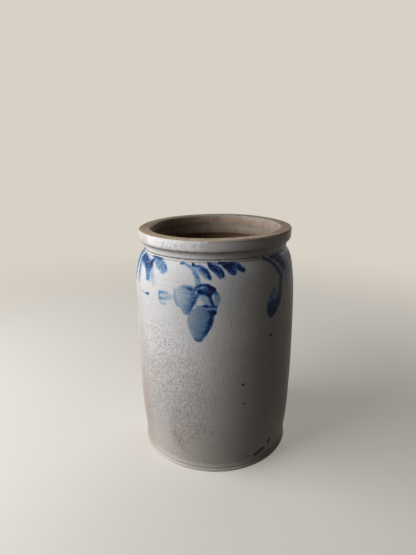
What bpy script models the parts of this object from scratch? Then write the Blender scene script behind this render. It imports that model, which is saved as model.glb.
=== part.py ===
"""Stoneware fermenting crock with the wooden follower and the pair of half-round weights kept inside it.

Metres, +Z up. The origin is the middle of the base, on the surface the crock stands on, and +Z is the
axis it was thrown about. The boards of the follower run along Y and its cleats along X.
"""

import math

import bmesh
import bpy
from mathutils import Vector

# Driving dimensions of the crock
CROCK_HEIGHT = 0.292
RIM_RADIUS = 0.0957
RIM_ROUND = 0.0018
COLLAR_FACE = 0.0130
COLLAR_TAPER = 0.0011
COLLAR_BEVEL = 0.0065
NECK_INSET = 0.0055
NECK_HEIGHT = 0.0060
NECK_LINES = 2
NECK_LINE_DEPTH = 0.0007
NECK_LINE_WIDTH = 0.0016
SHOULDER_FULLNESS = 0.0115
SHOULDER_SPRING = 0.085
BELLY_RADIUS = 0.1023
BELLY_HEIGHT = 0.125
FLANK_SPRING = 0.040
FLANK_FULLNESS = 0.0049
FOOT_RADIUS = 0.0975
FOOT_BEAD = 0.0012
FOOT_HEIGHT = 0.0085
FOOT_ROUND = 0.0025
RIM_WIDTH = 0.0126
LIP_ROUND = 0.002
LIP_HEIGHT = 0.0085
LIP_SWELL = 0.0016
WALL = 0.0095
FLOOR = 0.012
FLOOR_FILLET = 0.008

# Driving dimensions of the follower
FOLLOWER_PLAY = 0.0035
BOARD_THICKNESS = 0.014
MIDDLE_BOARD_WIDTH = 0.054
BOARD_EASING = 0.0012
CLEAT_SPACING = 0.078
CLEAT_WIDTH = 0.020
CLEAT_THICKNESS = 0.012
CLEAT_END_INSET = 0.004
CLEAT_EASING = 0.0015
PEG_RADIUS = 0.004
PEG_EDGE_MARGIN = 0.009
PEG_EASING = 0.0006

# Driving dimensions of the weights
WEIGHT_PLAY = 0.0055
WEIGHT_THICKNESS = 0.028
WEIGHT_PARTING = 0.004
FINGER_HOLE_RADIUS = 0.016
WEIGHT_EASING = 0.004

# Gap left where one piece rests on, or fits in, another
SEATING_GAP = 0.0003

# Fineness of the rounds
CROCK_SIDES = 64
DISC_SIDES = 64
PEG_SIDES = 16
NOTCH_STEPS = 10
BODY_STEPS = 8
ROUND_STEPS = 3

STONEWARE = ("stoneware", (0.45, 0.43, 0.41), 0.45)
WEIGHT_CLAY = ("weight_clay", (0.40, 0.36, 0.31), 0.6)
WOOD = ("follower_wood", (0.36, 0.22, 0.11), 0.7)
PEG_WOOD = ("peg_wood", (0.26, 0.15, 0.07), 0.7)


def clear_scene():
    for existing in list(bpy.data.objects):
        bpy.data.objects.remove(existing, do_unlink=True)


def finish_material(finish):
    name, colour, roughness = finish
    made = bpy.data.materials.get(name)
    if made is None:
        made = bpy.data.materials.new(name)
        made.use_nodes = True
        shader = made.node_tree.nodes["Principled BSDF"]
        shader.inputs["Base Color"].default_value = (*colour, 1.0)
        shader.inputs["Roughness"].default_value = roughness
        shader.inputs["Metallic"].default_value = 0.0
    return made


def add_object(name, shape, finish, parent, location=(0.0, 0.0, 0.0)):
    """Turns a bmesh into a named object that hangs on its parent empty."""
    bmesh.ops.recalc_face_normals(shape, faces=shape.faces)
    mesh = bpy.data.meshes.new(name)
    shape.to_mesh(mesh)
    shape.free()
    mesh.materials.append(finish_material(finish))
    mesh.shade_smooth()
    mesh.set_sharp_from_angle(angle=math.radians(35))
    made = bpy.data.objects.new(name, mesh)
    bpy.context.scene.collection.objects.link(made)
    made.parent = parent
    made.location = location
    return made


def add_empty(name, height, parent=None):
    made = bpy.data.objects.new(name, None)
    bpy.context.scene.collection.objects.link(made)
    made.parent = parent
    made.location = (0.0, 0.0, height)
    return made


def ease_edges(piece, width, segments):
    """Rounds the hard edges of a piece with a Bevel modifier."""
    bevel = piece.modifiers.new("eased_edges", "BEVEL")
    bevel.width = width
    bevel.segments = segments
    bevel.limit_method = "ANGLE"
    bevel.angle_limit = math.radians(50)
    bevel.use_clamp_overlap = True


# Curves of the turned profile, as (radius, height) pairs


def arc(centre, radius, start, end, steps):
    """Points on a circular arc between two angles in degrees, both ends included."""
    turns = (math.radians(start + (end - start) * i / steps) for i in range(steps + 1))
    return [Vector((centre[0] + radius * math.cos(a), centre[1] + radius * math.sin(a))) for a in turns]


def sweep(first, first_handle, last_handle, last, steps):
    """Points on a cubic curve with two handles, both ends included."""
    ends = [Vector(p) for p in (first, first_handle, last_handle, last)]
    points = []
    for i in range(steps + 1):
        t = i / steps
        s = 1.0 - t
        shares = (s**3, 3 * s * s * t, 3 * s * t * t, t**3)
        points.append(sum((p * share for p, share in zip(ends, shares)), Vector((0.0, 0.0))))
    return points


# Heights and radii that several pieces share
COLLAR_BOTTOM = CROCK_HEIGHT - COLLAR_FACE
NECK_TOP = COLLAR_BOTTOM - COLLAR_BEVEL
NECK_BOTTOM = NECK_TOP - NECK_HEIGHT
NECK_RADIUS = RIM_RADIUS - NECK_INSET
WAIST_RADIUS = FOOT_RADIUS - FOOT_BEAD
MOUTH_RADIUS = RIM_RADIUS - RIM_WIDTH
THROAT_RADIUS = MOUTH_RADIUS - LIP_SWELL
THROAT_HEIGHT = CROCK_HEIGHT - LIP_HEIGHT


def neck_points():
    """The neck from below upwards, with the lines cut round it."""
    points = [Vector((NECK_RADIUS, NECK_BOTTOM))]
    pitch = NECK_HEIGHT / NECK_LINES
    for line in range(NECK_LINES):
        middle = NECK_BOTTOM + pitch * (line + 0.5)
        for inset, offset in ((0.0, -0.5), (NECK_LINE_DEPTH, 0.0), (0.0, 0.5)):
            points.append(Vector((NECK_RADIUS - inset, middle + offset * NECK_LINE_WIDTH)))
    points.append(Vector((NECK_RADIUS, NECK_TOP)))
    return points


def outside_profile():
    """From the middle of the base, up the outside, to the outer edge of the flat rim."""
    base = [Vector((0.0, 0.0))]
    foot = arc((FOOT_RADIUS - FOOT_ROUND, FOOT_ROUND), FOOT_ROUND, -90, 0, ROUND_STEPS)
    flank = sweep(
        (WAIST_RADIUS, FOOT_HEIGHT),
        (WAIST_RADIUS + FLANK_FULLNESS, FOOT_HEIGHT + FLANK_SPRING),
        (BELLY_RADIUS, BELLY_HEIGHT - FLANK_SPRING),
        (BELLY_RADIUS, BELLY_HEIGHT),
        BODY_STEPS,
    )
    shoulder = sweep(
        (BELLY_RADIUS, BELLY_HEIGHT),
        (BELLY_RADIUS, BELLY_HEIGHT + SHOULDER_SPRING),
        (BELLY_RADIUS, NECK_BOTTOM - SHOULDER_FULLNESS),
        (NECK_RADIUS, NECK_BOTTOM),
        BODY_STEPS,
    )
    collar = [Vector((RIM_RADIUS - COLLAR_TAPER, COLLAR_BOTTOM))]
    rim = arc((RIM_RADIUS - RIM_ROUND, CROCK_HEIGHT - RIM_ROUND), RIM_ROUND, 0, 90, ROUND_STEPS)
    return base + foot + flank + shoulder[1:-1] + neck_points() + collar + rim


def inside_profile():
    """From the inner edge of the flat rim, down the inside, to the middle of the floor."""
    lip = arc((MOUTH_RADIUS + LIP_ROUND, CROCK_HEIGHT - LIP_ROUND), LIP_ROUND, 90, 180, ROUND_STEPS)
    throat = Vector((THROAT_RADIUS, THROAT_HEIGHT))
    shoulder = sweep(
        (THROAT_RADIUS, NECK_BOTTOM),
        (BELLY_RADIUS - WALL, NECK_BOTTOM - SHOULDER_FULLNESS),
        (BELLY_RADIUS - WALL, BELLY_HEIGHT + SHOULDER_SPRING),
        (BELLY_RADIUS - WALL, BELLY_HEIGHT),
        BODY_STEPS,
    )
    heel = (WAIST_RADIUS - WALL, FLOOR + FLOOR_FILLET)
    flank = sweep(
        (BELLY_RADIUS - WALL, BELLY_HEIGHT),
        (BELLY_RADIUS - WALL, BELLY_HEIGHT - FLANK_SPRING),
        (WAIST_RADIUS - WALL + FLANK_FULLNESS, heel[1] + FLANK_SPRING),
        heel,
        BODY_STEPS,
    )
    fillet = arc((heel[0] - FLOOR_FILLET, heel[1]), FLOOR_FILLET, 0, -90, ROUND_STEPS)
    return lip + [throat] + shoulder + flank[1:-1] + fillet + [Vector((0.0, FLOOR))]


def narrowest_inside():
    """The least radius on the way to the floor, and on the flat of the floor with the play added."""
    way_down = (point.x for point in inside_profile() if point.y >= FLOOR + FLOOR_FILLET)
    flat_floor = WAIST_RADIUS - WALL - FLOOR_FILLET
    return min(*way_down, flat_floor + FOLLOWER_PLAY)


def turned(profile, sides):
    """Spins a profile that starts and ends on the axis into a closed shape."""
    shape = bmesh.new()
    corners = [shape.verts.new((point.x, 0.0, point.y)) for point in profile]
    edges = [shape.edges.new(pair) for pair in zip(corners, corners[1:])]
    bmesh.ops.spin(
        shape,
        geom=corners + edges,
        cent=(0.0, 0.0, 0.0),
        axis=(0.0, 0.0, 1.0),
        angle=2 * math.pi,
        steps=sides,
        use_merge=True,
    )
    bmesh.ops.remove_doubles(shape, verts=shape.verts, dist=1e-6)
    return shape


def slab(outline, thickness):
    """Extrudes a closed outline of (x, y) points upwards from z = 0."""
    shape = bmesh.new()
    face = shape.faces.new([shape.verts.new((x, y, 0.0)) for x, y in outline])
    raised = bmesh.ops.extrude_face_region(shape, geom=[face])
    moved = [item for item in raised["geom"] if isinstance(item, bmesh.types.BMVert)]
    bmesh.ops.translate(shape, vec=(0.0, 0.0, thickness), verts=moved)
    return shape


def make_crock(parent):
    profile = outside_profile() + inside_profile()
    return add_object("crock", turned(profile, CROCK_SIDES), STONEWARE, parent)


# The follower: three boards held by two cleats and a peg at each crossing

FOLLOWER_RADIUS = narrowest_inside() - FOLLOWER_PLAY
FOLLOWER_HEIGHT = FLOOR + SEATING_GAP
CLEAT_HEIGHT = BOARD_THICKNESS + SEATING_GAP
FOLLOWER_THICKNESS = CLEAT_HEIGHT + CLEAT_THICKNESS
BOARD_NAMES = ("left", "middle", "right")
CLEAT_NAMES = ("front", "back")


def board_edges():
    """The x limits of each board, from left to right, with a gap at each joint."""
    joint = MIDDLE_BOARD_WIDTH / 2
    half_gap = SEATING_GAP / 2
    return (
        (-FOLLOWER_RADIUS, -joint - half_gap),
        (-joint + half_gap, joint - half_gap),
        (joint + half_gap, FOLLOWER_RADIUS),
    )


def board_outline(low, high):
    """The part of the follower's disc between two x limits."""
    start = math.acos(max(-1.0, min(1.0, high / FOLLOWER_RADIUS)))
    end = math.acos(max(-1.0, min(1.0, low / FOLLOWER_RADIUS)))
    steps = max(3, round(DISC_SIDES * (end - start) / (2 * math.pi)))
    angles = [start + (end - start) * i / steps for i in range(steps + 1)]
    upper = [(FOLLOWER_RADIUS * math.cos(a), FOLLOWER_RADIUS * math.sin(a)) for a in angles]
    lower = [(x, -y) for x, y in reversed(upper)]
    met = 1e-6
    return upper + [point for point in lower if abs(point[1]) > met]


def cleat_half_length():
    """Half the length of a cleat whose ends stop short of the follower's edge."""
    outer_edge = CLEAT_SPACING / 2 + CLEAT_WIDTH / 2
    return math.sqrt(FOLLOWER_RADIUS**2 - outer_edge**2) - CLEAT_END_INSET


def peg_places():
    """Each peg's board name, cleat name and (x, y): one where every cleat crosses every board."""
    outer = min(
        (MIDDLE_BOARD_WIDTH / 2 + cleat_half_length()) / 2,
        cleat_half_length() - PEG_EDGE_MARGIN,
    )
    for cleat, y in zip(CLEAT_NAMES, (-CLEAT_SPACING / 2, CLEAT_SPACING / 2)):
        for board, x in zip(BOARD_NAMES, (-outer, 0.0, outer)):
            yield board, cleat, (x, y)


def round_bar(shape, radius, bottom, top, place):
    """Adds an upright round bar to a bmesh."""
    bar = bmesh.ops.create_cone(
        shape, cap_ends=True, segments=PEG_SIDES, radius1=radius, radius2=radius, depth=top - bottom
    )
    bmesh.ops.translate(shape, vec=(*place, (bottom + top) / 2), verts=bar["verts"])


def make_peg_cutter(parent):
    """All the peg holes as one helper that the boards and cleats are cut with."""
    shape = bmesh.new()
    overrun = BOARD_THICKNESS
    for _board, _cleat, place in peg_places():
        round_bar(shape, PEG_RADIUS + SEATING_GAP, -overrun, FOLLOWER_THICKNESS + overrun, place)
    cutter = add_object("peg_hole_cutter", shape, PEG_WOOD, parent)
    cutter.hide_render = True
    cutter.display_type = "WIRE"
    return cutter


def bore_for_pegs(piece, cutter):
    cut = piece.modifiers.new("peg_holes", "BOOLEAN")
    cut.operation = "DIFFERENCE"
    cut.object = cutter


def make_follower(parent):
    cutter = make_peg_cutter(parent)
    for name, (low, high) in zip(BOARD_NAMES, board_edges()):
        shape = slab(board_outline(low, high), BOARD_THICKNESS)
        board = add_object(f"follower_board_{name}", shape, WOOD, parent)
        ease_edges(board, BOARD_EASING, 1)
        bore_for_pegs(board, cutter)
    reach = cleat_half_length()
    for name, y in zip(CLEAT_NAMES, (-CLEAT_SPACING / 2, CLEAT_SPACING / 2)):
        near, far = y - CLEAT_WIDTH / 2, y + CLEAT_WIDTH / 2
        outline = [(-reach, near), (reach, near), (reach, far), (-reach, far)]
        shape = slab(outline, CLEAT_THICKNESS)
        bmesh.ops.translate(shape, vec=(0.0, 0.0, CLEAT_HEIGHT), verts=shape.verts)
        cleat = add_object(f"follower_cleat_{name}", shape, WOOD, parent)
        ease_edges(cleat, CLEAT_EASING, 2)
        bore_for_pegs(cleat, cutter)
    for board, cleat, place in peg_places():
        shape = bmesh.new()
        round_bar(shape, PEG_RADIUS, SEATING_GAP, FOLLOWER_THICKNESS, (0.0, 0.0))
        peg = add_object(f"follower_peg_{cleat}_{board}", shape, PEG_WOOD, parent, (*place, 0.0))
        ease_edges(peg, PEG_EASING, 1)


# The weights: two half rounds that lie on the cleats and leave a finger hole between them

WEIGHT_RADIUS = narrowest_inside() - WEIGHT_PLAY
WEIGHT_HEIGHT = FOLLOWER_THICKNESS + SEATING_GAP


def weight_outline(side):
    """Half a disc with half of the finger hole in its straight edge; side is -1 or +1 along X."""
    straight = WEIGHT_PARTING / 2
    reach = math.acos(straight / WEIGHT_RADIUS)
    rim_steps = DISC_SIDES // 2
    rim = [-reach + 2 * reach * i / rim_steps for i in range(rim_steps + 1)]
    outline = [(WEIGHT_RADIUS * math.cos(a), WEIGHT_RADIUS * math.sin(a)) for a in rim]
    bite = math.acos(straight / FINGER_HOLE_RADIUS)
    notch = [bite - 2 * bite * i / NOTCH_STEPS for i in range(NOTCH_STEPS + 1)]
    outline += [(FINGER_HOLE_RADIUS * math.cos(a), FINGER_HOLE_RADIUS * math.sin(a)) for a in notch]
    return [(side * x, y) for x, y in outline]


def make_weights(seat):
    for name, side in (("left", -1), ("right", 1)):
        lift = add_empty(f"weight_{name}_lift", 0.0, seat)
        shape = slab(weight_outline(side), WEIGHT_THICKNESS)
        weight = add_object(f"weight_{name}", shape, WEIGHT_CLAY, lift)
        ease_edges(weight, WEIGHT_EASING, 2)


def main():
    clear_scene()
    stand = add_empty("crock_stand", 0.0)
    make_crock(stand)
    follower_lift = add_empty("follower_lift", FOLLOWER_HEIGHT, stand)
    make_follower(follower_lift)
    weight_seat = add_empty("weight_seat", WEIGHT_HEIGHT, follower_lift)
    make_weights(weight_seat)


main()
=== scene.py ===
"""Looks of a salt-glazed stoneware fermenting crock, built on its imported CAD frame.

Everything is in metres in the frame of the CAD model: +Z up, the origin in the middle of the base and the
viewer of the front on -Y. Angles round the crock are in degrees from the front, positive to the right.
"""

from __future__ import annotations

import logging
import math
from collections.abc import Iterator, Sequence
from dataclasses import dataclass
from enum import IntEnum

import bmesh
import bpy
import numpy as np
from mathutils import Euler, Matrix, Quaternion, Vector, noise

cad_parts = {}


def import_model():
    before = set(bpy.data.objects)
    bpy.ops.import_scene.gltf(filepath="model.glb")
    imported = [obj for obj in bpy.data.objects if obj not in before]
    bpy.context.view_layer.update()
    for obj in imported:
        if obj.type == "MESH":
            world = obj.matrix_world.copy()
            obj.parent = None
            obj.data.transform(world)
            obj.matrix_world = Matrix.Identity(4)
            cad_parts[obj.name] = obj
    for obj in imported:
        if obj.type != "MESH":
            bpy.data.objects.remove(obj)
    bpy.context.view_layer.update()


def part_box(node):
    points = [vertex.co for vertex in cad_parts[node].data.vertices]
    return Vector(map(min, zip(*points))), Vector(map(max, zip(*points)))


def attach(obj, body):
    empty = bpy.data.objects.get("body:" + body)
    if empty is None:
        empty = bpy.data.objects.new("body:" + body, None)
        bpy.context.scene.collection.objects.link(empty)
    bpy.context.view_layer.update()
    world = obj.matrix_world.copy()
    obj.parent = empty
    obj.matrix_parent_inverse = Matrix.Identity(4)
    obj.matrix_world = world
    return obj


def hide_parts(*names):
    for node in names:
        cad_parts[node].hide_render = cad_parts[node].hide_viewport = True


LOG = logging.getLogger("crock_scene")

# Metres in a millimetre, and how near to each other two points count as one.
MM = 0.001
TOUCHING = 1e-6

Pair = tuple[float, float]
Triple = tuple[float, float, float]
Paint = tuple[float, ...]
Outline = Sequence[Pair]
Waves = Sequence[tuple[float, float, float, float]]
Socket = bpy.types.NodeSocket
Feed = Socket | float | Paint
Inputs = dict[str | int, Feed] | Sequence[Feed]


def srgb(red: int, green: int, blue: int) -> Paint:
    """Turns a colour as seen on screen into the linear colour that a shader takes.

    Args:
        red: its red, 0 to 255.
        green: its green.
        blue: its blue.

    Returns:
        The linear red, green and blue, with an alpha of 1.
    """

    def linear(level: int) -> float:
        """One channel in linear light, 0 to 1."""
        share = level / 255
        return share / 12.92 if share <= 0.04045 else ((share + 0.055) / 1.055) ** 2.4

    return (linear(red), linear(green), linear(blue), 1.0)


class NodeSheet:
    """Adds nodes to one shader tree and wires them up.

    Args:
        tree: the material's tree or the node group that is being filled.
    """

    def __init__(self, tree: bpy.types.NodeTree) -> None:
        """Keeps the tree."""
        self.tree = tree

    def feed(self, socket: Socket, value: Feed) -> None:
        """Links a socket to another one, or sets its value.

        Args:
            socket: the input that is fed.
            value: the output to link it to, or the value to set.
        """
        if isinstance(value, bpy.types.NodeSocket):
            self.tree.links.new(value, socket)
        else:
            socket.default_value = value

    def add(self, kind: str, inputs: Inputs = (), **settings: object) -> bpy.types.Node:
        """Adds a node.

        Args:
            kind: the node's type.
            inputs: what its inputs take, in order or by name or number.
            settings: its other settings.

        Returns:
            The node.
        """
        node = self.tree.nodes.new(kind)
        for name, value in settings.items():
            setattr(node, name, value)
        for name, value in inputs.items() if isinstance(inputs, dict) else enumerate(inputs):
            self.feed(node.inputs[name], value)
        return node

    def math(self, operation: str, *values: Feed, clamp: bool = False) -> Socket:
        """Adds one Math node, held within 0 to 1 by a node of its own if asked, and returns its result."""
        result = self.add("ShaderNodeMath", values, operation=operation).outputs[0]
        return self.add("ShaderNodeClamp", {"Value": result}).outputs[0] if clamp else result

    def times(self, first: Feed, second: Feed, clamp: bool = False) -> Socket:
        """The product of two values, held within 0 to 1 if asked."""
        return self.math("MULTIPLY", first, second, clamp=clamp)

    def plus(self, first: Feed, second: Feed) -> Socket:
        """The sum of two values."""
        return self.math("ADD", first, second)

    def minus(self, first: Feed, second: Feed) -> Socket:
        """The first value less the second."""
        return self.math("SUBTRACT", first, second)

    def times_plus(self, value: Feed, factor: Feed, base: Feed) -> Socket:
        """A value times a factor, plus a base."""
        return self.math("MULTIPLY_ADD", value, factor, base)

    def vector_math(self, operation: str, *values: Feed) -> Socket:
        """Adds one Vector Math node and returns its vector."""
        return self.add("ShaderNodeVectorMath", values, operation=operation).outputs[0]

    def length(self, vector: Feed) -> Socket:
        """The length of a vector."""
        return self.add("ShaderNodeVectorMath", (vector,), operation="LENGTH").outputs["Value"]

    def split(self, vector: Feed) -> Sequence[Socket]:
        """The three numbers of a vector."""
        return self.add("ShaderNodeSeparateXYZ", (vector,)).outputs

    def span(self, value: Feed, low: float, high: float, to_low: Feed = 0.0, to_high: Feed = 1.0) -> Socket:
        """Maps a stretch of values smoothly on to another, held at both ends.

        Args:
            value: what is mapped.
            low: where the stretch starts.
            high: where it ends, which may be the lower of the two.
            to_low: what its start becomes.
            to_high: what its end becomes.

        Returns:
            The mapped value.
        """
        ends = {"Value": value, "From Min": low, "From Max": high, "To Min": to_low, "To Max": to_high}
        node = self.add("ShaderNodeMapRange", ends, interpolation_type="SMOOTHSTEP", clamp=False)
        return node.outputs["Result"]

    def mix(self, share: Feed, first: Feed, second: Feed, blend: str = "MIX") -> Socket:
        """Mixes two colours and returns the colour."""
        colours = {0: share, 6: first, 7: second}
        return self.add("ShaderNodeMix", colours, data_type="RGBA", blend_type=blend).outputs[2]

    def noise(
        self,
        place: Feed,
        scale: float,
        detail: float = 2.0,
        rough: float = 0.55,
        warp: float = 0.0,
        output: str = "Fac",
    ) -> Socket:
        """Adds a noise texture.

        Args:
            place: the point that it is read at.
            scale: its waves per metre.
            detail: how many finer noises are added.
            rough: how strong each of them is.
            warp: how much the noise is pushed about.
            output: the output to take, Fac for a grey or Color for three greys.

        Returns:
            That output, about 0.5 in the middle.
        """
        names = ("Vector", "Scale", "Detail", "Roughness", "Distortion")
        inputs = dict(zip(names, (place, scale, detail, rough, warp)))
        return self.add("ShaderNodeTexNoise", inputs).outputs[output]

    def cells(self, place: Feed, scale: float, smooth: float = 1.0) -> Socket:
        """Returns the distance of a smooth Voronoi texture: low in each cell's middle."""
        inputs = {"Vector": place, "Scale": scale, "Smoothness": smooth}
        return self.add("ShaderNodeTexVoronoi", inputs, feature="SMOOTH_F1").outputs["Distance"]

    def ramp(self, value: Feed, stops: Sequence[tuple[float, Paint]]) -> Socket:
        """Maps 0 to 1 on to a row of colours.

        Args:
            value: what is mapped.
            stops: the place of each colour, 0 to 1, and the colour.

        Returns:
            The colour.
        """
        node = self.add("ShaderNodeValToRGB", {"Fac": value})
        elements = node.color_ramp.elements
        while len(elements) < len(stops):
            elements.new(1.0)
        for element, (place, colour) in zip(elements, stops):
            element.position = place
            element.color = colour
        return node.outputs["Color"]

    def attribute(self, name: str) -> Socket:
        """Returns a number that the mesh holds at each point."""
        return self.add("ShaderNodeAttribute", attribute_name=name).outputs["Fac"]

    def place(self) -> Socket:
        """Returns the point in the object's own frame, which is the CAD frame."""
        return self.add("ShaderNodeTexCoord").outputs["Object"]

    def stretched(self, place: Feed, scale: Triple) -> Socket:
        """Returns a point scaled unevenly, so that a noise read there is drawn out along one way."""
        return self.vector_math("MULTIPLY", place, scale)

    def bump(self, height: Feed, distance: float, strength: float = 1.0) -> Socket:
        """Returns the normal of a surface raised by height times distance, in metres."""
        inputs = {"Strength": strength, "Distance": distance, "Height": height}
        return self.add("ShaderNodeBump", inputs).outputs["Normal"]


def new_material(name: str) -> tuple[bpy.types.Material, NodeSheet, bpy.types.Node]:
    """Starts a node material.

    Args:
        name: the material's name.

    Returns:
        The material, a sheet for its nodes and its Principled shader.
    """
    material = bpy.data.materials.new(name)
    material.use_nodes = True
    sheet = NodeSheet(material.node_tree)
    return material, sheet, material.node_tree.nodes["Principled BSDF"]


@dataclass(frozen=True)
class BrushStroke:
    """One stroke of a loaded brush on the crock's wall.

    Attributes:
        start: (angle in degrees, height in mm) where the brush is set down.
        end: where it is lifted.
        widths: half widths in mm at the start, the middle and the end.
        load: how thick the pigment lies at the start and the end, 0 to 1.
        blur: half the width in mm over which the edge fades.
        bend: how far the middle of the stroke bows to the left of its way, in mm.
        lean: how much thicker it lies on the left edge than in the middle; negative leans right.
    """

    start: Pair
    end: Pair
    widths: Triple
    load: Pair
    blur: float
    bend: float = 0.0
    lean: float = 0.0


def strokes(*rows: tuple[float | Pair | Triple, ...]) -> tuple[BrushStroke, ...]:
    """Makes a stroke of each row of values, which stand in the order of its attributes."""
    return tuple(BrushStroke(*row) for row in rows)


class StrokeBrush:
    """Lays strokes on the wall in one shader tree, each with the same node group.

    Attributes:
        MM_PER_DEGREE: the way along the wall in one degree.
        REPEAT_HALF: half of the degrees after which the ornament comes again.
        SHORTEST: the least length of a stroke in mm.
        INPUTS: what the node group takes, in the order that a stroke gives it.
    """

    MM_PER_DEGREE: float = 1.71
    REPEAT_HALF: float = 90.0
    SHORTEST: float = 0.1
    INPUTS: tuple[str, ...] = (
        "Angle",
        "Height",
        "Start Angle",
        "Start Height",
        "Way Across",
        "Way Up",
        "Length",
        "Bend",
        "Width",
        "Width Slope",
        "Width Curve",
        "Load Start",
        "Load Change",
        "Lean",
        "Blur",
    )

    def __init__(self, sheet: NodeSheet, angle: Socket, height: Socket) -> None:
        """Makes the node group that all strokes share.

        Args:
            sheet: the tree that they are laid in.
            angle: degrees round the crock.
            height: mm above the base.
        """
        self.sheet = sheet
        self.angle = angle
        self.height = height
        self.group = bpy.data.node_groups.new("brush_stroke", "ShaderNodeTree")
        for name in self.INPUTS:
            self.group.interface.new_socket(name=name, in_out="INPUT", socket_type="NodeSocketFloat")
        self.group.interface.new_socket(name="Bare", in_out="OUTPUT", socket_type="NodeSocketFloat")
        self._fill()

    def _fill(self) -> None:
        """Wires the group: how much of the wall the stroke leaves bare, 1 outside it."""
        sheet = NodeSheet(self.group)
        given = sheet.add("NodeGroupInput").outputs
        turned = sheet.minus(given["Angle"], given["Start Angle"])
        turned = sheet.math("WRAP", turned, self.REPEAT_HALF, -self.REPEAT_HALF)
        across = sheet.times(turned, self.MM_PER_DEGREE)
        up = sheet.minus(given["Height"], given["Start Height"])
        along = sheet.plus(sheet.times(across, given["Way Across"]), sheet.times(up, given["Way Up"]))
        aside = sheet.minus(sheet.times(up, given["Way Across"]), sheet.times(across, given["Way Up"]))
        share = sheet.math("DIVIDE", along, given["Length"], clamp=True)
        bow = sheet.times(share, sheet.minus(1.0, share))
        aside = sheet.minus(aside, sheet.times(bow, given["Bend"]))
        past = sheet.minus(along, sheet.times(share, given["Length"]))
        reach = sheet.math("SQRT", sheet.plus(sheet.times(aside, aside), sheet.times(past, past)))
        slope = sheet.times_plus(share, given["Width Curve"], given["Width Slope"])
        width = sheet.times_plus(share, slope, given["Width"])
        inside = sheet.math("DIVIDE", sheet.minus(width, reach), given["Blur"])
        cover = sheet.span(inside, -1.0, 1.0)
        load = sheet.times_plus(share, given["Load Change"], given["Load Start"])
        side = sheet.math("DIVIDE", aside, width)
        side = sheet.math("MAXIMUM", sheet.math("MINIMUM", side, 1.0), -1.0)
        leaned = sheet.times_plus(side, given["Lean"], 1.0)
        laid = sheet.times(sheet.times(cover, load), leaned, clamp=True)
        result = sheet.add("NodeGroupOutput")
        sheet.feed(result.inputs["Bare"], sheet.minus(1.0, laid))

    def lay(self, stroke: BrushStroke) -> Socket:
        """Lays one stroke.

        Args:
            stroke: the stroke.

        Returns:
            How much of the wall it leaves bare, 0 to 1.
        """
        across = (stroke.end[0] - stroke.start[0]) * self.MM_PER_DEGREE
        up = stroke.end[1] - stroke.start[1]
        length = max(math.hypot(across, up), self.SHORTEST)
        first, middle, last = stroke.widths
        # The bow and the widths are parabolas: start, slope and curve come from three points of each.
        values = (
            self.angle,
            self.height,
            *stroke.start,
            across / length,
            up / length,
            length,
            4 * stroke.bend,
            first,
            2 * (middle - first),
            first - 2 * middle + last,
            stroke.load[0],
            stroke.load[1] - stroke.load[0],
            stroke.lean,
            stroke.blur,
        )
        return self.sheet.add("ShaderNodeGroup", values, node_tree=self.group).outputs["Bare"]

    def paint(self, work: Sequence[BrushStroke]) -> Socket:
        """Lays strokes over each other.

        Args:
            work: the strokes.

        Returns:
            How thick the pigment is, 0 to 1.
        """
        bare = self.lay(work[0])
        for stroke in work[1:]:
            bare = self.sheet.times(bare, self.lay(stroke))
        return self.sheet.minus(1.0, bare)


UPPER_PETAL = ((-19.1, 229.5), (-18.4, 213.2), (13.2, 11.6, 4.6))
LOWER_PETAL = ((-9.3, 204.2), (-10.6, 183.0), (13.9, 13.6, 5.2))

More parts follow.
